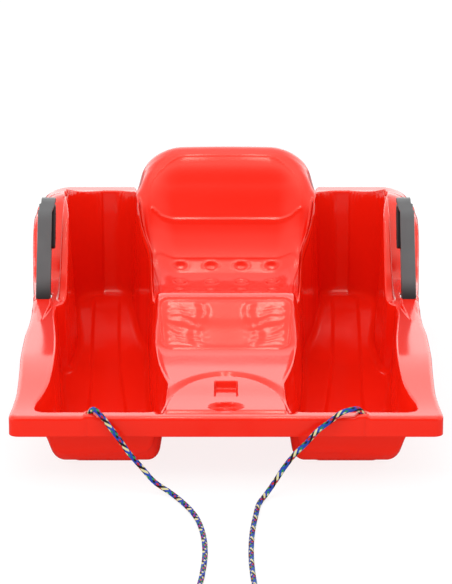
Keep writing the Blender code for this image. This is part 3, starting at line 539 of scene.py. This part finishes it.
def skirtBottom(y):
    low = blendLine(y / along, [0.0, 0.03, 0.2, 0.42, 0.74], [0.0, 0.08, 0.86, 1.0, 1.0])
    tail = alongStep(y, 0.42, 0.7)
    side = ss["rimBottom"] + (ss["flangeBottom"] - ss["rimBottom"]) * low
    return side * (1 - tail) + ss["tailBottom"] * tail


def roundCorner(x, y):
    outX, outY = x.copy(), y.copy()
    for radius, sign in ((ss["frontCorner"], -1), (ss["rearCorner"], 1)):
        centreX = halfWidth(y) - radius
        centreY = radius if sign < 0 else sledLength - radius
        a, b = x - centreX, sign * (y - centreY)
        inside = (a > 0) & (b > 0)
        scale = np.where(inside, np.maximum(a, b) / (np.sqrt(a * a + b * b) + 1e-12), 1.0)
        outX = np.where(inside, centreX + a * scale, outX)
        outY = np.where(inside, centreY + sign * b * scale, outY)
    return outX, outY


def shareOut(marks, step):
    # Splits each stretch between marks into equal parts no longer than step
    out = [0.0]
    for k in range(len(marks) - 1):
        count = max(math.ceil((marks[k + 1] - marks[k]) / step), 1)
        out.extend([k + (n + 1) / count for n in range(count)])
    return np.array(out)


gridValues = {  # lines that the mesh's rows and columns follow
    "rows": (0.06, 0.064, 0.104, 0.11, 0.133, 0.19, 0.235, 0.275, 0.303, 0.345, 0.405, 0.45,
             0.504, 0.558, 0.611), "tailRow": 0.7,
    "ridgeShare": 0.76, "ridgeInset": 0.0085, "channelEdge": 0.003,
    "shoulderX": 0.22, "shoulderGap": 0.0095, "flangeInset": 0.0105,
}


def shellGrid():
    gv, q = gridValues, across
    arc = np.sin(np.radians(np.arange(0, 91, 15)))
    edge, low = ss["edgeRadius"] * arc, ss["footRadius"] * arc
    front, rear = ss["wellFront"], ss["wellRear"]
    run, back = ss["padRun"], ss["wellRun"] + rearShare * (ss["shoulderRun"] - ss["wellRun"])
    rowMarks = [ss["lip"]] + list(front + edge) + list(front + run - low[::-1])
    rowMarks += [s * along for s in gv["rows"]] + list(rear - back + low) + list(rear - edge[::-1])
    rowMarks += [gv["tailRow"] * along, sledLength - ss["lip"]]
    rows = np.interp(shareOut(rowMarks, ss["meshStep"]), np.arange(len(rowMarks)), rowMarks)
    b, o, h = ridgeHalf(rows), wellOuter(rows), halfWidth(rows)
    shoulder = np.maximum(o + gv["shoulderGap"] * q, gv["shoulderX"] * q)
    run, rise = outerWallRun(rows), innerWallRun(rows)
    marks = [0 * b, gv["ridgeShare"] * b, b - gv["ridgeInset"] * q]
    marks += [b + ss["ridgeGap"] + part for part in edge]
    marks += [b + ss["ridgeGap"] + rise - part for part in low[::-1]]
    for line in channelSides(rows):
        marks += [line - gv["channelEdge"] * q, line + gv["channelEdge"] * q]
    marks += [o - run + part for part in low] + [o - part for part in edge[::-1]]
    flange = h - gv["flangeInset"] * q
    marks += [shoulder, 0.5 * shoulder + 0.5 * flange, flange, h - ss["lip"]]
    table = np.maximum.accumulate(np.stack(marks, axis=1) + np.arange(len(marks)) * 1e-5, axis=1)
    table = np.minimum(table, marks[-1][:, None])
    spots = shareOut(list(table.mean(axis=0)), ss["meshStep"] * 0.9)
    half = np.stack([np.interp(spots, np.arange(table.shape[1]), line) for line in table])
    sideways = np.concatenate([-half[:, :0:-1], half], axis=1)
    lengthwise = np.repeat(rows[:, None], sideways.shape[1], axis=1)
    x, y = roundCorner(np.abs(sideways), lengthwise)
    for _ in range(2):  # points near a hole's edge are moved onto it
        d, e = holeDistance(x, y), 0.0001
        stepX = (holeDistance(x + e, y) - holeDistance(x - e, y)) / (2 * e)
        stepY = (holeDistance(x, y + e) - holeDistance(x, y - e)) / (2 * e)
        near = np.abs(d) < ss["meshStep"] * 0.75
        x, y = np.where(near, x - d * stepX, x), np.where(near, y - d * stepY, y)
    return np.stack([np.sign(sideways) * x, y, shellHeight(x, y)], axis=2)


def smoothMesh(name, points, faces):
    mesh = bpy.data.meshes.new(name)
    mesh.from_pydata(points.tolist(), [], faces)
    mesh.update()
    mesh.polygons.foreach_set("use_smooth", [True] * len(mesh.polygons))
    return mesh


def makeShellMesh():
    grid = shellGrid()
    rows, columns = grid.shape[:2]
    points = grid.reshape(-1, 3)
    a = (np.arange(rows - 1)[:, None] * columns + np.arange(columns - 1)[None, :]).reshape(-1)
    quads = np.stack([a, a + 1, a + columns + 1, a + columns], axis=1)
    inside = holeDistance(points[:, 0], points[:, 1])[quads]
    hole = (inside.min(axis=1) < -0.0003) & (inside.max(axis=1) < 0.0003)
    gone, faces = quads[hole], [quads[~hole]]
    ring = np.concatenate([
        np.arange(columns), np.arange(1, rows) * columns + columns - 1,
        (rows - 1) * columns + np.arange(columns - 2, -1, -1), np.arange(rows - 2, 0, -1) * columns])
    flat = points[ring][:, :2]
    ahead = unit(np.roll(flat, -1, axis=0) - np.roll(flat, 1, axis=0))
    out = np.stack([ahead[:, 1], -ahead[:, 0]], axis=1)
    top, low = points[ring][:, 2], skirtBottom(flat[:, 1])
    gridNormals = surfaceNormals(points)
    plain = points.copy()
    plain[:, 2] = shellHeight(np.abs(points[:, 0]), points[:, 1], 0.0)
    loops, normals = [ring], [gridNormals]
    lip = ss["lip"]
    levels = [(math.sin(math.radians(t)), 1 - math.cos(math.radians(t)), None) for t in range(15, 91, 15)]
    levels += [(1.0, None, share) for share in (0.25, 0.5, 0.75, 0.93, 1.0)]
    for reach, down, share in levels:
        spot = flat + out * lip * reach
        z = top - lip * down if share is None else (top - lip) * (1 - share) + low * share
        loops.append(np.arange(len(points), len(points) + len(ring)))
        points = np.vstack([points, np.column_stack([spot, z])])
        plain = np.vstack([plain, points[loops[-1]]])
        rise = math.sqrt(1 - reach * reach)
        turned = np.column_stack([out * reach, np.full(len(ring), rise)])
        normals.append(turned + rise * gridNormals[ring] * 0.5)
    for first, second in zip(loops[:-1], loops[1:]):
        faces.append(np.stack([np.roll(first, -1), first, second, np.roll(second, -1)], axis=1))
    normals = np.vstack(normals)
    normals[ring, :2] += 0.15 * out
    normals = unit(normals)
    lower = plain - normals * ss["wall"]
    total = len(points)
    last = loops[-1]
    faces.append(np.stack([np.roll(last, -1), last, total + last, total + np.roll(last, -1)], axis=1))
    backward = np.concatenate([gone[:, (n + 1) % 4] * total + gone[:, n] for n in range(4)])
    for k in range(4):  # walls of the holes
        start, end = gone[:, k], gone[:, (k + 1) % 4]
        shared = np.isin(start * total + end, backward)
        start, end = start[~shared], end[~shared]
        faces.append(np.stack([start, end, total + end, total + start], axis=1))
    outer = np.vstack(faces[:1 + len(levels)])
    quads = np.vstack(faces + [total + outer[:, ::-1]])
    points = np.vstack([points, lower])
    points[:, 1] -= sledLength / 2
    mesh = smoothMesh("shellSkin", points, quads.tolist())
    own = np.zeros(6 * total)  # shading follows the surface where it is gentle, the mesh where it is steep
    mesh.vertices.foreach_get("normal", own)
    own = own.reshape(-1, 3)
    smooth = np.vstack([normals, -normals])
    gentle = np.abs(smooth[:, 2:]) ** 0.5 * (np.sum(smooth * own, axis=1, keepdims=True) > 0.9)
    both = unit(own * (1.001 - gentle) + smooth * gentle)
    mesh.normals_split_custom_set_from_vertices(both.tolist())
    return mesh


def addObject(name, mesh, material):
    mesh.materials.append(material)
    obj = bpy.data.objects.new(name, mesh)
    bpy.context.collection.objects.link(obj)
    return obj


shellFinish = {
    "colour": (0.84, 0.014, 0.004, 1), "tintDrift": 0.05, "mirrorTint": (1, 0.98, 0.82, 1),
    "roughness": 0.125, "roughDrift": 0.04,
    "swellSize": 14.0, "grainSize": 1400.0, "grainShare": 0.02, "bumpStrength": 0.5, "bumpDepth": 0.0006,
}
shellSkin = addObject("shellSkin", makeShellMesh(), makeMoulded("redPlastic", shellFinish))
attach(shellSkin, "sled")
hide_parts("shell")
print("shell made", len(shellSkin.data.polygons))

leverValues = {
    "width": 0.018, "height": 0.1432 * up, "lowerX": 0.2357 * across, "upperX": 0.2343 * across,
    "neckX": 0.2303 * across, "gripInnerX": 0.2214 * across, "lugOuterX": 0.2205 * across,
    "bend": (0.154, 0.736), "neck": (0.891, 0.023), "clawFrom": (0.1, -0.12), "clawThin": 0.11,
    "sideFit": 0.0006, "hubRadius": 0.0118, "boreRadius": 0.0032,
    "rounding": 0.0022, "gripRounding": 0.002, "webDepth": 0.0028, "webInset": 0.0042, "webSlope": 0.0012,
}
lv = leverValues


def leverShapes():
    # Side view from the pin as (back, up): front edge, grip, claw and the inner grip block
    front = [(-0.0175, 0.019), (-0.01, 0.036), (0.0005, 0.057), (0.011, 0.077), (0.0205, 0.096),
             (0.029, 0.115), (0.034, 0.1262), (0.038, 0.129), (0.042, 0.1368), (0.0465, 0.1396)]
    grip = [(0.055, 0.1396), (0.062, 0.1362), (0.0665, 0.13), (0.065, 0.1275), (0.061, 0.117),
            (0.0595, 0.11), (0.055, 0.1035), (0.0495, 0.098), (0.0475, 0.091), (0.043, 0.0845),
            (0.037, 0.0795), (0.031, 0.073), (0.023, 0.059), (0.017, 0.046), (0.013, 0.033)]
    claw = [(0.031, -0.011), (0.055, -0.023), (0.077, -0.0355), (0.091, -0.0455), (0.0895, -0.05),
            (0.079, -0.048), (0.071, -0.046), (0.063, -0.0465), (0.055, -0.0395), (0.045, -0.0365),
            (0.025, -0.0275), (0.005, -0.019)]
    block = [(0.0245, 0.08), (0.048, 0.13), (0.06, 0.13)] + grip[4:10] + [(0.033, 0.076)]
    size = lv["height"] / 0.1432

    def arc(radius, start, end):
        angles = [math.radians(start + (end - start) * k / 8) for k in range(9)]
        return [(radius * math.cos(a), radius * math.sin(a)) for a in angles]

    whole = front + grip + arc(0.014, 62, 0) + claw + arc(0.015, 255, 180)
    return [(y * size, z * size) for y, z in whole], [(y * size, z * size) for y, z in block]


def leverCentre(z):
    def share(start, run):
        return min(max((z - start * lv["height"]) / (run * lv["height"]), 0.0), 1.0)

    bent = lv["lowerX"] + (lv["upperX"] - lv["lowerX"]) * share(*lv["bend"])
    return bent + (lv["neckX"] - lv["upperX"]) * share(*lv["neck"])


def sideSolid(outline, near, far, webSides, material, name):
    # Solid between two side faces, with a sunk web in the sides named in webSides
    work = bmesh.new()
    loops = []
    for place in (near, far):
        loops.append([work.verts.new((place(y, z), y, z)) for y, z in outline])
    caps = [work.faces.new(loops[0]), work.faces.new(loops[1][::-1])]
    count = len(outline)
    for k in range(count):
        n = (k + 1) % count
        work.faces.new((loops[0][k], loops[1][k], loops[1][n], loops[0][n]))
    bmesh.ops.recalc_face_normals(work, faces=work.faces)
    for spot in webSides:
        bmesh.ops.inset_region(work, faces=[caps[spot]], thickness=lv["webInset"], use_even_offset=True)
        bmesh.ops.inset_region(work, faces=[caps[spot]], thickness=lv["webSlope"], depth=-lv["webDepth"])
    mesh = bpy.data.meshes.new(name)
    work.to_mesh(mesh)
    work.free()
    return addObject(name, mesh, material)


def roundEdges(obj, width, angle):
    change = obj.modifiers.new("round", "BEVEL")
    change.width, change.segments, change.limit_method = width, 3, "ANGLE"
    change.angle_limit = math.radians(angle)
    bpy.context.view_layer.objects.active = obj
    bpy.ops.object.modifier_apply(modifier=change.name)


def turnedRing(name, profile, material, steps=64):
    # Turns a closed profile of (x, radius) points round the x axis
    ring = len(profile)
    angles = 2 * np.pi * np.arange(steps) / steps
    points = [(x, r * math.cos(t), r * math.sin(t)) for t in angles for x, r in profile]
    quads = [(k * ring + j, k * ring + (j + 1) % ring, ((k + 1) % steps) * ring + (j + 1) % ring,
              ((k + 1) % steps) * ring + j) for k in range(steps) for j in range(ring)]
    obj = addObject(name, smoothMesh(name, np.array(points), quads), material)
    work = bmesh.new()
    work.from_mesh(obj.data)
    bmesh.ops.recalc_face_normals(work, faces=work.faces)
    work.to_mesh(obj.data)
    work.free()
    return obj


def joinPieces(pieces):
    for obj in bpy.context.view_layer.objects:
        obj.select_set(obj in pieces)
    bpy.context.view_layer.objects.active = pieces[0]
    bpy.ops.object.join()
    return pieces[0]


def makeLever(side, name, material, gripShadeMaterial):
    outline, block = leverShapes()

    def faceAt(share):  # a side face of the lever, with the claw a little thinner
        def place(y, z):
            claw = y > lv["clawFrom"][0] * lv["height"] and z < lv["clawFrom"][1] * lv["height"]
            half = lv["width"] * (0.5 - (lv["clawThin"] if claw else 0.0))
            return side * (leverCentre(z) + share * half)
        return place

    body = sideSolid(outline, faceAt(-1), faceAt(1), (0, 1), material, name)
    roundEdges(body, lv["rounding"], 40)
    # the inner grip block takes the painted-shade material
    grip = sideSolid(block, lambda y, z: side * lv["gripInnerX"], lambda y, z: side * leverCentre(z), (),
                     gripShadeMaterial, "grip")
    roundEdges(grip, lv["gripRounding"], 40)
    inner = lv["lugOuterX"] + lv["sideFit"]
    outer = float(halfWidth(np.array([ss["pivotY"]]))[0]) - ss["wall"] - lv["sideFit"]
    bore, hub = lv["boreRadius"], lv["hubRadius"]
    rim = [(inner, bore + 0.0006), (inner, hub - 0.001), (inner + 0.001, hub), (outer - 0.001, hub),
           (outer, hub - 0.001), (outer, hub - 0.0028), (outer - 0.0012, hub - 0.0034),
           (outer - 0.0012, bore + 0.003), (outer, bore + 0.0024), (outer, bore + 0.0006),
           (outer - 0.0006, bore), (inner + 0.0006, bore)]
    ring = turnedRing("hub", [(side * x, r) for x, r in rim], material)
    lever = joinPieces([body, grip, ring])
    lever.name = name
    for face in lever.data.polygons:
        face.use_smooth = True
    lever.data.set_sharp_from_angle(angle=math.radians(38))
    lever.location = (0, ss["pivotY"] - sledLength / 2, ss["pivotZ"])
    return lever


brakeFinish = {
    "colour": (0.118, 0.12, 0.122, 1), "tintDrift": 0.25, "roughness": 0.42, "roughDrift": 0.1,
    "swellSize": 40.0, "grainSize": 2600.0, "grainShare": 0.35, "bumpStrength": 0.35, "bumpDepth": 0.0003,
    # footShade is painted shade: the lever's colour darkens toward its lower end
    "footShade": (0.022, 0.05, 0.85),
}
# painted shade: the inner grip block is near-black to stand in for the shade on the lever's inner flank
gripShadeFinish = dict(brakeFinish, colour=(0.012, 0.012, 0.013, 1), roughness=0.5)
brakePlastic, gripShadePlastic = makeMoulded("brakePlastic", brakeFinish), makeMoulded("gripShadePlastic", gripShadeFinish)
for side, word in ((-1, "left"), (1, "right")):
    lever = makeLever(side, word + "BrakeLever", brakePlastic, gripShadePlastic)
    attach(lever, word + "_brake")
    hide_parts("brake_lever_" + word)
print("levers made")

steelValues = {
    "colour": (0.6, 0.6, 0.62, 1), "dark": (0.36, 0.36, 0.38, 1), "roughness": 0.3, "roughDrift": 0.25,
    "brushSize": 900.0, "spotSize": 260.0, "bumpStrength": 0.3, "bumpDepth": 0.0001,
}


def makeSteel():
    # Drawn steel, with fine turning lines round the axis and a few dull spots
    sv = steelValues
    material, tree, shader = newMaterial("pinSteel")
    place = placeNode(tree)
    stretched = addNode(tree, "ShaderNodeMapping", {"Vector": place, "Scale": (1.0, 0.15, 0.15)}).outputs[0]
    lines = noiseNode(tree, stretched, sv["brushSize"])
    colour = mixColour(tree, noiseNode(tree, place, sv["spotSize"]), sv["dark"], sv["colour"])
    drift = mathNode(tree, "MULTIPLY", lines, sv["roughDrift"])
    rough = mathNode(tree, "ADD", drift, sv["roughness"] - 0.1)
    bump = bumpNode(tree, lines, sv)
    feed(tree, shader, {"Base Color": colour, "Metallic": 1.0, "Roughness": rough, "Normal": bump})
    return material


pinSteel = makeSteel()
for name in ("brake_pin_left", "brake_pin_right", "pin_cap_left", "pin_cap_right"):
    node = frame["nodes"][name]
    node.data.materials.clear()
    node.data.materials.append(pinSteel)
print("pins finished")

ropeValues = {
    "diameter": 0.006, "strands": 6, "pitch": 0.017, "relief": 0.00045, "sides": 30, "ringStep": 0.0011,
    "coilRadius": 0.033, "coilTurns": 2.5, "coilPitch": 0.0066, "coilY": -0.45 * along,
    "startDrop": 0.0096, "rimDrop": 0.0025,
    "knotStrand": 0.0042, "knotReach": 0.0044, "knotZ": 0.0634 * up,
}
rv = ropeValues


def legRoute(side, points, ends):
    # From under the eyelet over the rim and along the floor to the coil
    x, y = side * ss["eyeletX"], ss["eyeletY"]
    start = [(x, y, ss["rimTop"] - rv["startDrop"]), (x, y, ss["rimTop"] - rv["rimDrop"])]
    over = [(u * across, v * along, max(w * up, rv["diameter"] / 2)) for u, v, w in points]
    return start + over + [(side * rv["coilRadius"], rv["coilY"] + gap, height) for gap, height in ends]


def leftRoute():
    r = rv["diameter"] / 2
    points = [
        (-0.156, 0.0085, 0.0828), (-0.1525, 0.0045, 0.0868), (-0.1475, -0.001, 0.0862),
        (-0.1415, -0.0045, 0.0805), (-0.1325, -0.008, 0.069), (-0.122, -0.011, 0.0555),
        (-0.1115, -0.016, 0.0415), (-0.097, -0.023, 0.0265), (-0.0815, -0.033, 0.012),
        (-0.064, -0.047, 0.0045), (-0.048, -0.079, 0.003), (-0.0335, -0.124, 0.003),
        (-0.0255, -0.175, 0.003), (-0.0225, -0.235, 0.003), (-0.025, -0.3, 0.003),
        (-0.03, -0.36, 0.003), (-0.0327, -0.405, 0.003)]
    return legRoute(-1, points, ((0.03, r), (0.02, r), (rv["diameter"], r)))


def rightRoute():
    top = rv["diameter"] / 2 + rv["coilTurns"] * rv["coilPitch"]
    points = [
        (0.1557, 0.0085, 0.0828), (0.15, 0.005, 0.0872), (0.142, 0.0005, 0.0876), (0.132, -0.003, 0.085),
        (0.1205, -0.0075, 0.0775), (0.105, -0.012, 0.0665), (0.0915, -0.018, 0.0535),
        (0.0785, -0.025, 0.0425), (0.0665, -0.033, 0.0295), (0.056, -0.042, 0.016),
        (0.046, -0.056, 0.006), (0.038, -0.078, 0.003), (0.033, -0.121, 0.003), (0.0285, -0.18, 0.003),
        (0.027, -0.25, 0.003), (0.029, -0.315, 0.003), (0.0318, -0.356, 0.0042), (0.033, -0.385, 0.0095)]
    ends = ((0.04, top - 0.0035), (0.027, top - 0.0004), (0.018, top), (rv["diameter"], top))
    return legRoute(1, points, ends)


def coilRoute():
    r = rv["diameter"] / 2
    out = []
    for k in range(int(24 * rv["coilTurns"]) + 1):
        turn = k / 24
        angle = math.pi + 2 * math.pi * turn
        out.append((rv["coilRadius"] * math.cos(angle), rv["coilY"] + rv["coilRadius"] * math.sin(angle),
                    r + rv["coilPitch"] * turn))
    return out


def smoothThrough(nodes, spacing):
    pts = np.array(nodes, dtype=float)
    ends = np.vstack([2 * pts[0] - pts[1], pts, 2 * pts[-1] - pts[-2]])
    dense = []
    for k in range(1, len(ends) - 2):
        p0, p1, p2, p3 = ends[k - 1:k + 3]
        t1 = np.linalg.norm(p1 - p0) ** 0.5
        t2 = t1 + np.linalg.norm(p2 - p1) ** 0.5
        t3 = t2 + np.linalg.norm(p3 - p2) ** 0.5
        for t in np.linspace(t1, t2, 24, endpoint=False):
            a1 = (t1 - t) / t1 * p0 + t / t1 * p1
            a2 = (t2 - t) / (t2 - t1) * p1 + (t - t1) / (t2 - t1) * p2
            a3 = (t3 - t) / (t3 - t2) * p2 + (t - t2) / (t3 - t2) * p3
            b1 = (t2 - t) / t2 * a1 + t / t2 * a2
            b2 = (t3 - t) / (t3 - t1) * a2 + (t - t1) / (t3 - t1) * a3
            dense.append((t2 - t) / (t2 - t1) * b1 + (t - t1) / (t2 - t1) * b2)
    dense.append(pts[-1])
    dense = np.array(dense)
    run = runAlong(dense)
    marks = np.linspace(0.0, run[-1], max(int(round(run[-1] / spacing)), 4) + 1)
    return np.stack([np.interp(marks, run, dense[:, k]) for k in range(3)], axis=1)


def braidRelief(around, run):
    # Height of the strands that cross over each other, 0 to 1
    u = around * rv["strands"]
    v = run / rv["pitch"] * rv["strands"] / 2
    a, b = u + v, u - v
    over = (np.floor(a) + np.floor(b)) % 2 < 0.5
    first = 1 - (2 * (a - np.floor(a)) - 1) ** 2
    second = 1 - (2 * (b - np.floor(b)) - 1) ** 2
    return np.where(over, 0.35 + 0.65 * first, 0.35 + 0.65 * second) ** 0.7


def braidTube(name, path, diameter, material):
    pts = np.array(path)
    tangent = unit(np.gradient(pts, axis=0))
    normal = np.cross(tangent[0], (0.0, 0.0, 1.0))
    if np.linalg.norm(normal) < 0.1:
        normal = np.cross(tangent[0], (0.0, 1.0, 0.0))
    sides = rv["sides"]
    run = runAlong(pts)
    share = np.arange(sides) / sides
    angle = 2 * math.pi * share
    relief = rv["relief"] * diameter / rv["diameter"]
    rings = []
    for k in range(len(pts)):
        normal = unit(normal - tangent[k] * np.dot(normal, tangent[k]))
        radius = diameter / 2 - relief * (1 - braidRelief(share, run[k]))
        around = np.cos(angle)[:, None] * normal + np.sin(angle)[:, None] * np.cross(tangent[k], normal)
        rings.append(pts[k] + radius[:, None] * around)
    points = np.vstack(rings)
    points[:, 1] -= sledLength / 2
    faces, places = [], []
    for k in range(len(pts) - 1):
        for s in range(sides):
            corners = ((s, k), (s + 1, k), (s + 1, k + 1), (s, k + 1))
            faces.append(tuple(ring * sides + turned % sides for turned, ring in corners))
            places.extend((turned / sides, run[ring]) for turned, ring in corners)
    faces += [tuple(range(sides - 1, -1, -1)), tuple(range((len(pts) - 1) * sides, len(pts) * sides))]
    mesh = smoothMesh(name, points, faces)
    layer = mesh.uv_layers.new(name="braid")
    for spot, place in enumerate(places):
        layer.data[spot].uv = place
    return addObject(name, mesh, material)


ropeFinish = {
    "blue": (0.012, 0.05, 0.36, 1), "black": (0.006, 0.006, 0.01, 1), "straw": (0.62, 0.58, 0.3, 1),
    "green": (0.01, 0.22, 0.07, 1), "red": (0.46, 0.01, 0.02, 1),
    "rightTurned": ("blue", "black", "straw", "blue", "green", "blue"),
    "leftTurned": ("black", "blue", "blue", "straw", "black", "red"),
    "fibreSize": 2200.0, "fibreShade": 0.3, "bumpStrength": 0.4, "bumpDepth": 0.0002,
    "roughness": 0.6, "specular": 0.25,
}


def makeRopeMaterial():
    # Where strands cross, the one on top shows, in its own colour
    rf = ropeFinish
    material, tree, shader = newMaterial("braidedRope")
    place = addNode(tree, "ShaderNodeUVMap", {}, uv_map="braid").outputs["UV"]
    around, run, _ = addNode(tree, "ShaderNodeSeparateXYZ", {0: place}).outputs
    u = mathNode(tree, "MULTIPLY", around, float(rv["strands"]))
    v = mathNode(tree, "MULTIPLY", run, rv["strands"] / 2 / rv["pitch"])
    wholes = [mathNode(tree, "FLOOR", mathNode(tree, word, u, v)) for word in ("ADD", "SUBTRACT")]
    colours = []
    for whole, names in zip(wholes, (rf["rightTurned"], rf["leftTurned"])):
        count = float(len(names))
        strand = mathNode(tree, "FLOORED_MODULO", whole, count)
        share = mathNode(tree, "DIVIDE", mathNode(tree, "ADD", strand, 0.5), count)
        ramp = addNode(tree, "ShaderNodeValToRGB", {0: share})
        ramp.color_ramp.interpolation = "CONSTANT"
        stops = ramp.color_ramp.elements
        while len(stops) < count:
            stops.new(0.5)
        for k, name in enumerate(names):
            stops[k].position, stops[k].color = k / count, rf[name]
        colours.append(ramp.outputs["Color"])
    over = mathNode(tree, "FLOORED_MODULO", mathNode(tree, "ADD", *wholes), 2.0)
    fibre = noiseNode(tree, placeNode(tree), rf["fibreSize"])
    fuzz = mathNode(tree, "MULTIPLY", fibre, rf["fibreShade"])
    fuzz = mathNode(tree, "ADD", fuzz, 1 - rf["fibreShade"] / 2)
    fuzzy = scaleColour(tree, mixColour(tree, over, *colours), fuzz)
    feed(tree, shader, {"Base Color": fuzzy, "Normal": bumpNode(tree, fibre, rf),
                        "Roughness": rf["roughness"], "Specular IOR Level": rf["specular"]})
    return material


def knotRoute(x):
    # Overhand knot pulled tight under its eyelet
    out = []
    for k in range(121):
        t = 2 * math.pi * k / 120
        reach = rv["knotReach"] * (0.62 + 0.38 * math.cos(3 * t))
        out.append((x + reach * math.cos(2 * t), ss["eyeletY"] + 0.0009 + reach * math.sin(2 * t),
                    rv["knotZ"] + 0.0024 * math.sin(3 * t)))
    return out


ropeMaterial = makeRopeMaterial()
for side, word in ((-1, "left"), (1, "right")):
    knot = braidTube(word + "Knot", knotRoute(side * ss["eyeletX"]), rv["knotStrand"], ropeMaterial)
    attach(knot, "sled")
    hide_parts("rope_knot_" + word)
ropePath = smoothThrough(leftRoute() + coilRoute() + rightRoute()[::-1], rv["ringStep"])
ropePath[:, 2] = np.maximum(ropePath[:, 2], rv["diameter"] / 2)
rope = braidTube("towRope", ropePath, rv["diameter"], ropeMaterial)
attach(rope, "sled")
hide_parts("rope_left", "rope_right", "rope_coil")

lights = {
    "floorSize": 30, "floorDrop": 0.0002, "floorColour": (0.97, 0.97, 0.97, 1), "floorGlow": 0.87,
    "floorMirrored": (0.26, 0.26, 0.26, 1), "floorShade": (0.14, 0.14, 0.14, 1), "worldStrength": 1.08,
    "aheadRamp": (-0.68, -0.28, 0.08, 1.35), "behindRamp": (0.35, 0.98, 0.0, 0.6),
    "aboveRamp": (0.8, 0.98, 0.0, 0.6),
    "keyPlace": (-0.9, -1.7, 2.3), "keyAim": (0, 0, 0.1), "keySize": (1.5, 1.0), "keyPower": 16.0,
    "stripPlace": (0.1, 0.12, 2.0), "stripSize": (0.06, 0.9), "stripPower": 1.5,
}


def makeFloor():
    bpy.ops.mesh.primitive_plane_add(size=lights["floorSize"], location=(0, 0, -lights["floorDrop"]))
    floor = bpy.context.object
    floor.name = "paleFloor"
    material, tree, shader = newMaterial("paleFloor")
    mirror = tree.nodes.new("ShaderNodeLightPath").outputs["Is Glossy Ray"]
    tint = mixColour(tree, mirror, lights["floorShade"], lights["floorMirrored"])
    glow = mathNode(tree, "MULTIPLY", mathNode(tree, "SUBTRACT", 1.0, mirror), lights["floorGlow"])
    feed(tree, shader, {"Base Color": tint, "Roughness": 0.9,
                        "Emission Color": lights["floorColour"], "Emission Strength": glow})
    floor.data.materials.append(material)


def makeWorld():
    world = bpy.data.worlds.new("studio")
    bpy.context.scene.world = world
    world.use_nodes = True
    tree = world.node_tree
    path = tree.nodes.new("ShaderNodeLightPath")
    # Mirrored in the plastic, the room is dim ahead of the sled and bright above and behind it
    _, y, z = addNode(tree, "ShaderNodeSeparateXYZ", {0: placeNode(tree, "Generated")}).outputs
    ahead = smoothRamp(tree, y, *lights["aheadRamp"])
    behind = smoothRamp(tree, y, *lights["behindRamp"])
    above = smoothRamp(tree, z, *lights["aboveRamp"])
    mirrored = mathNode(tree, "ADD", mathNode(tree, "ADD", ahead, behind), above)
    strength = 0.0
    for ray, part in (("Camera", 1.0), ("Glossy", mirrored), ("Diffuse", lights["worldStrength"])):
        seen = mathNode(tree, "MULTIPLY", path.outputs[f"Is {ray} Ray"], part)
        strength = mathNode(tree, "ADD", strength, seen)
    feed(tree, tree.nodes["Background"], {"Color": (1, 1, 1, 1), "Strength": strength})


def addLamp(name, place, aim, size, power):
    data = bpy.data.lights.new(name, "AREA")
    data.shape = "RECTANGLE"
    data.size, data.size_y = size
    data.energy = power
    lamp = bpy.data.objects.new(name, data)
    bpy.context.collection.objects.link(lamp)
    lamp.location = place
    lamp.rotation_euler = (Vector(aim) - Vector(place)).to_track_quat("-Z", "Y").to_euler()
    return lamp


makeFloor()
makeWorld()
keyLamp = addLamp("keyLamp", lights["keyPlace"], lights["keyAim"], lights["keySize"], lights["keyPower"])
keyLamp.visible_glossy = False
x, y, z = lights["stripPlace"]
for side in (-1, 1):  # two narrow lamps overhead, seen as stripes on the seat
    addLamp("stripLamp", (side * x, y, z), (side * x, y, 0), lights["stripSize"], lights["stripPower"])
bpy.context.scene.view_settings.view_transform = "Standard"
print("stage and light ready")
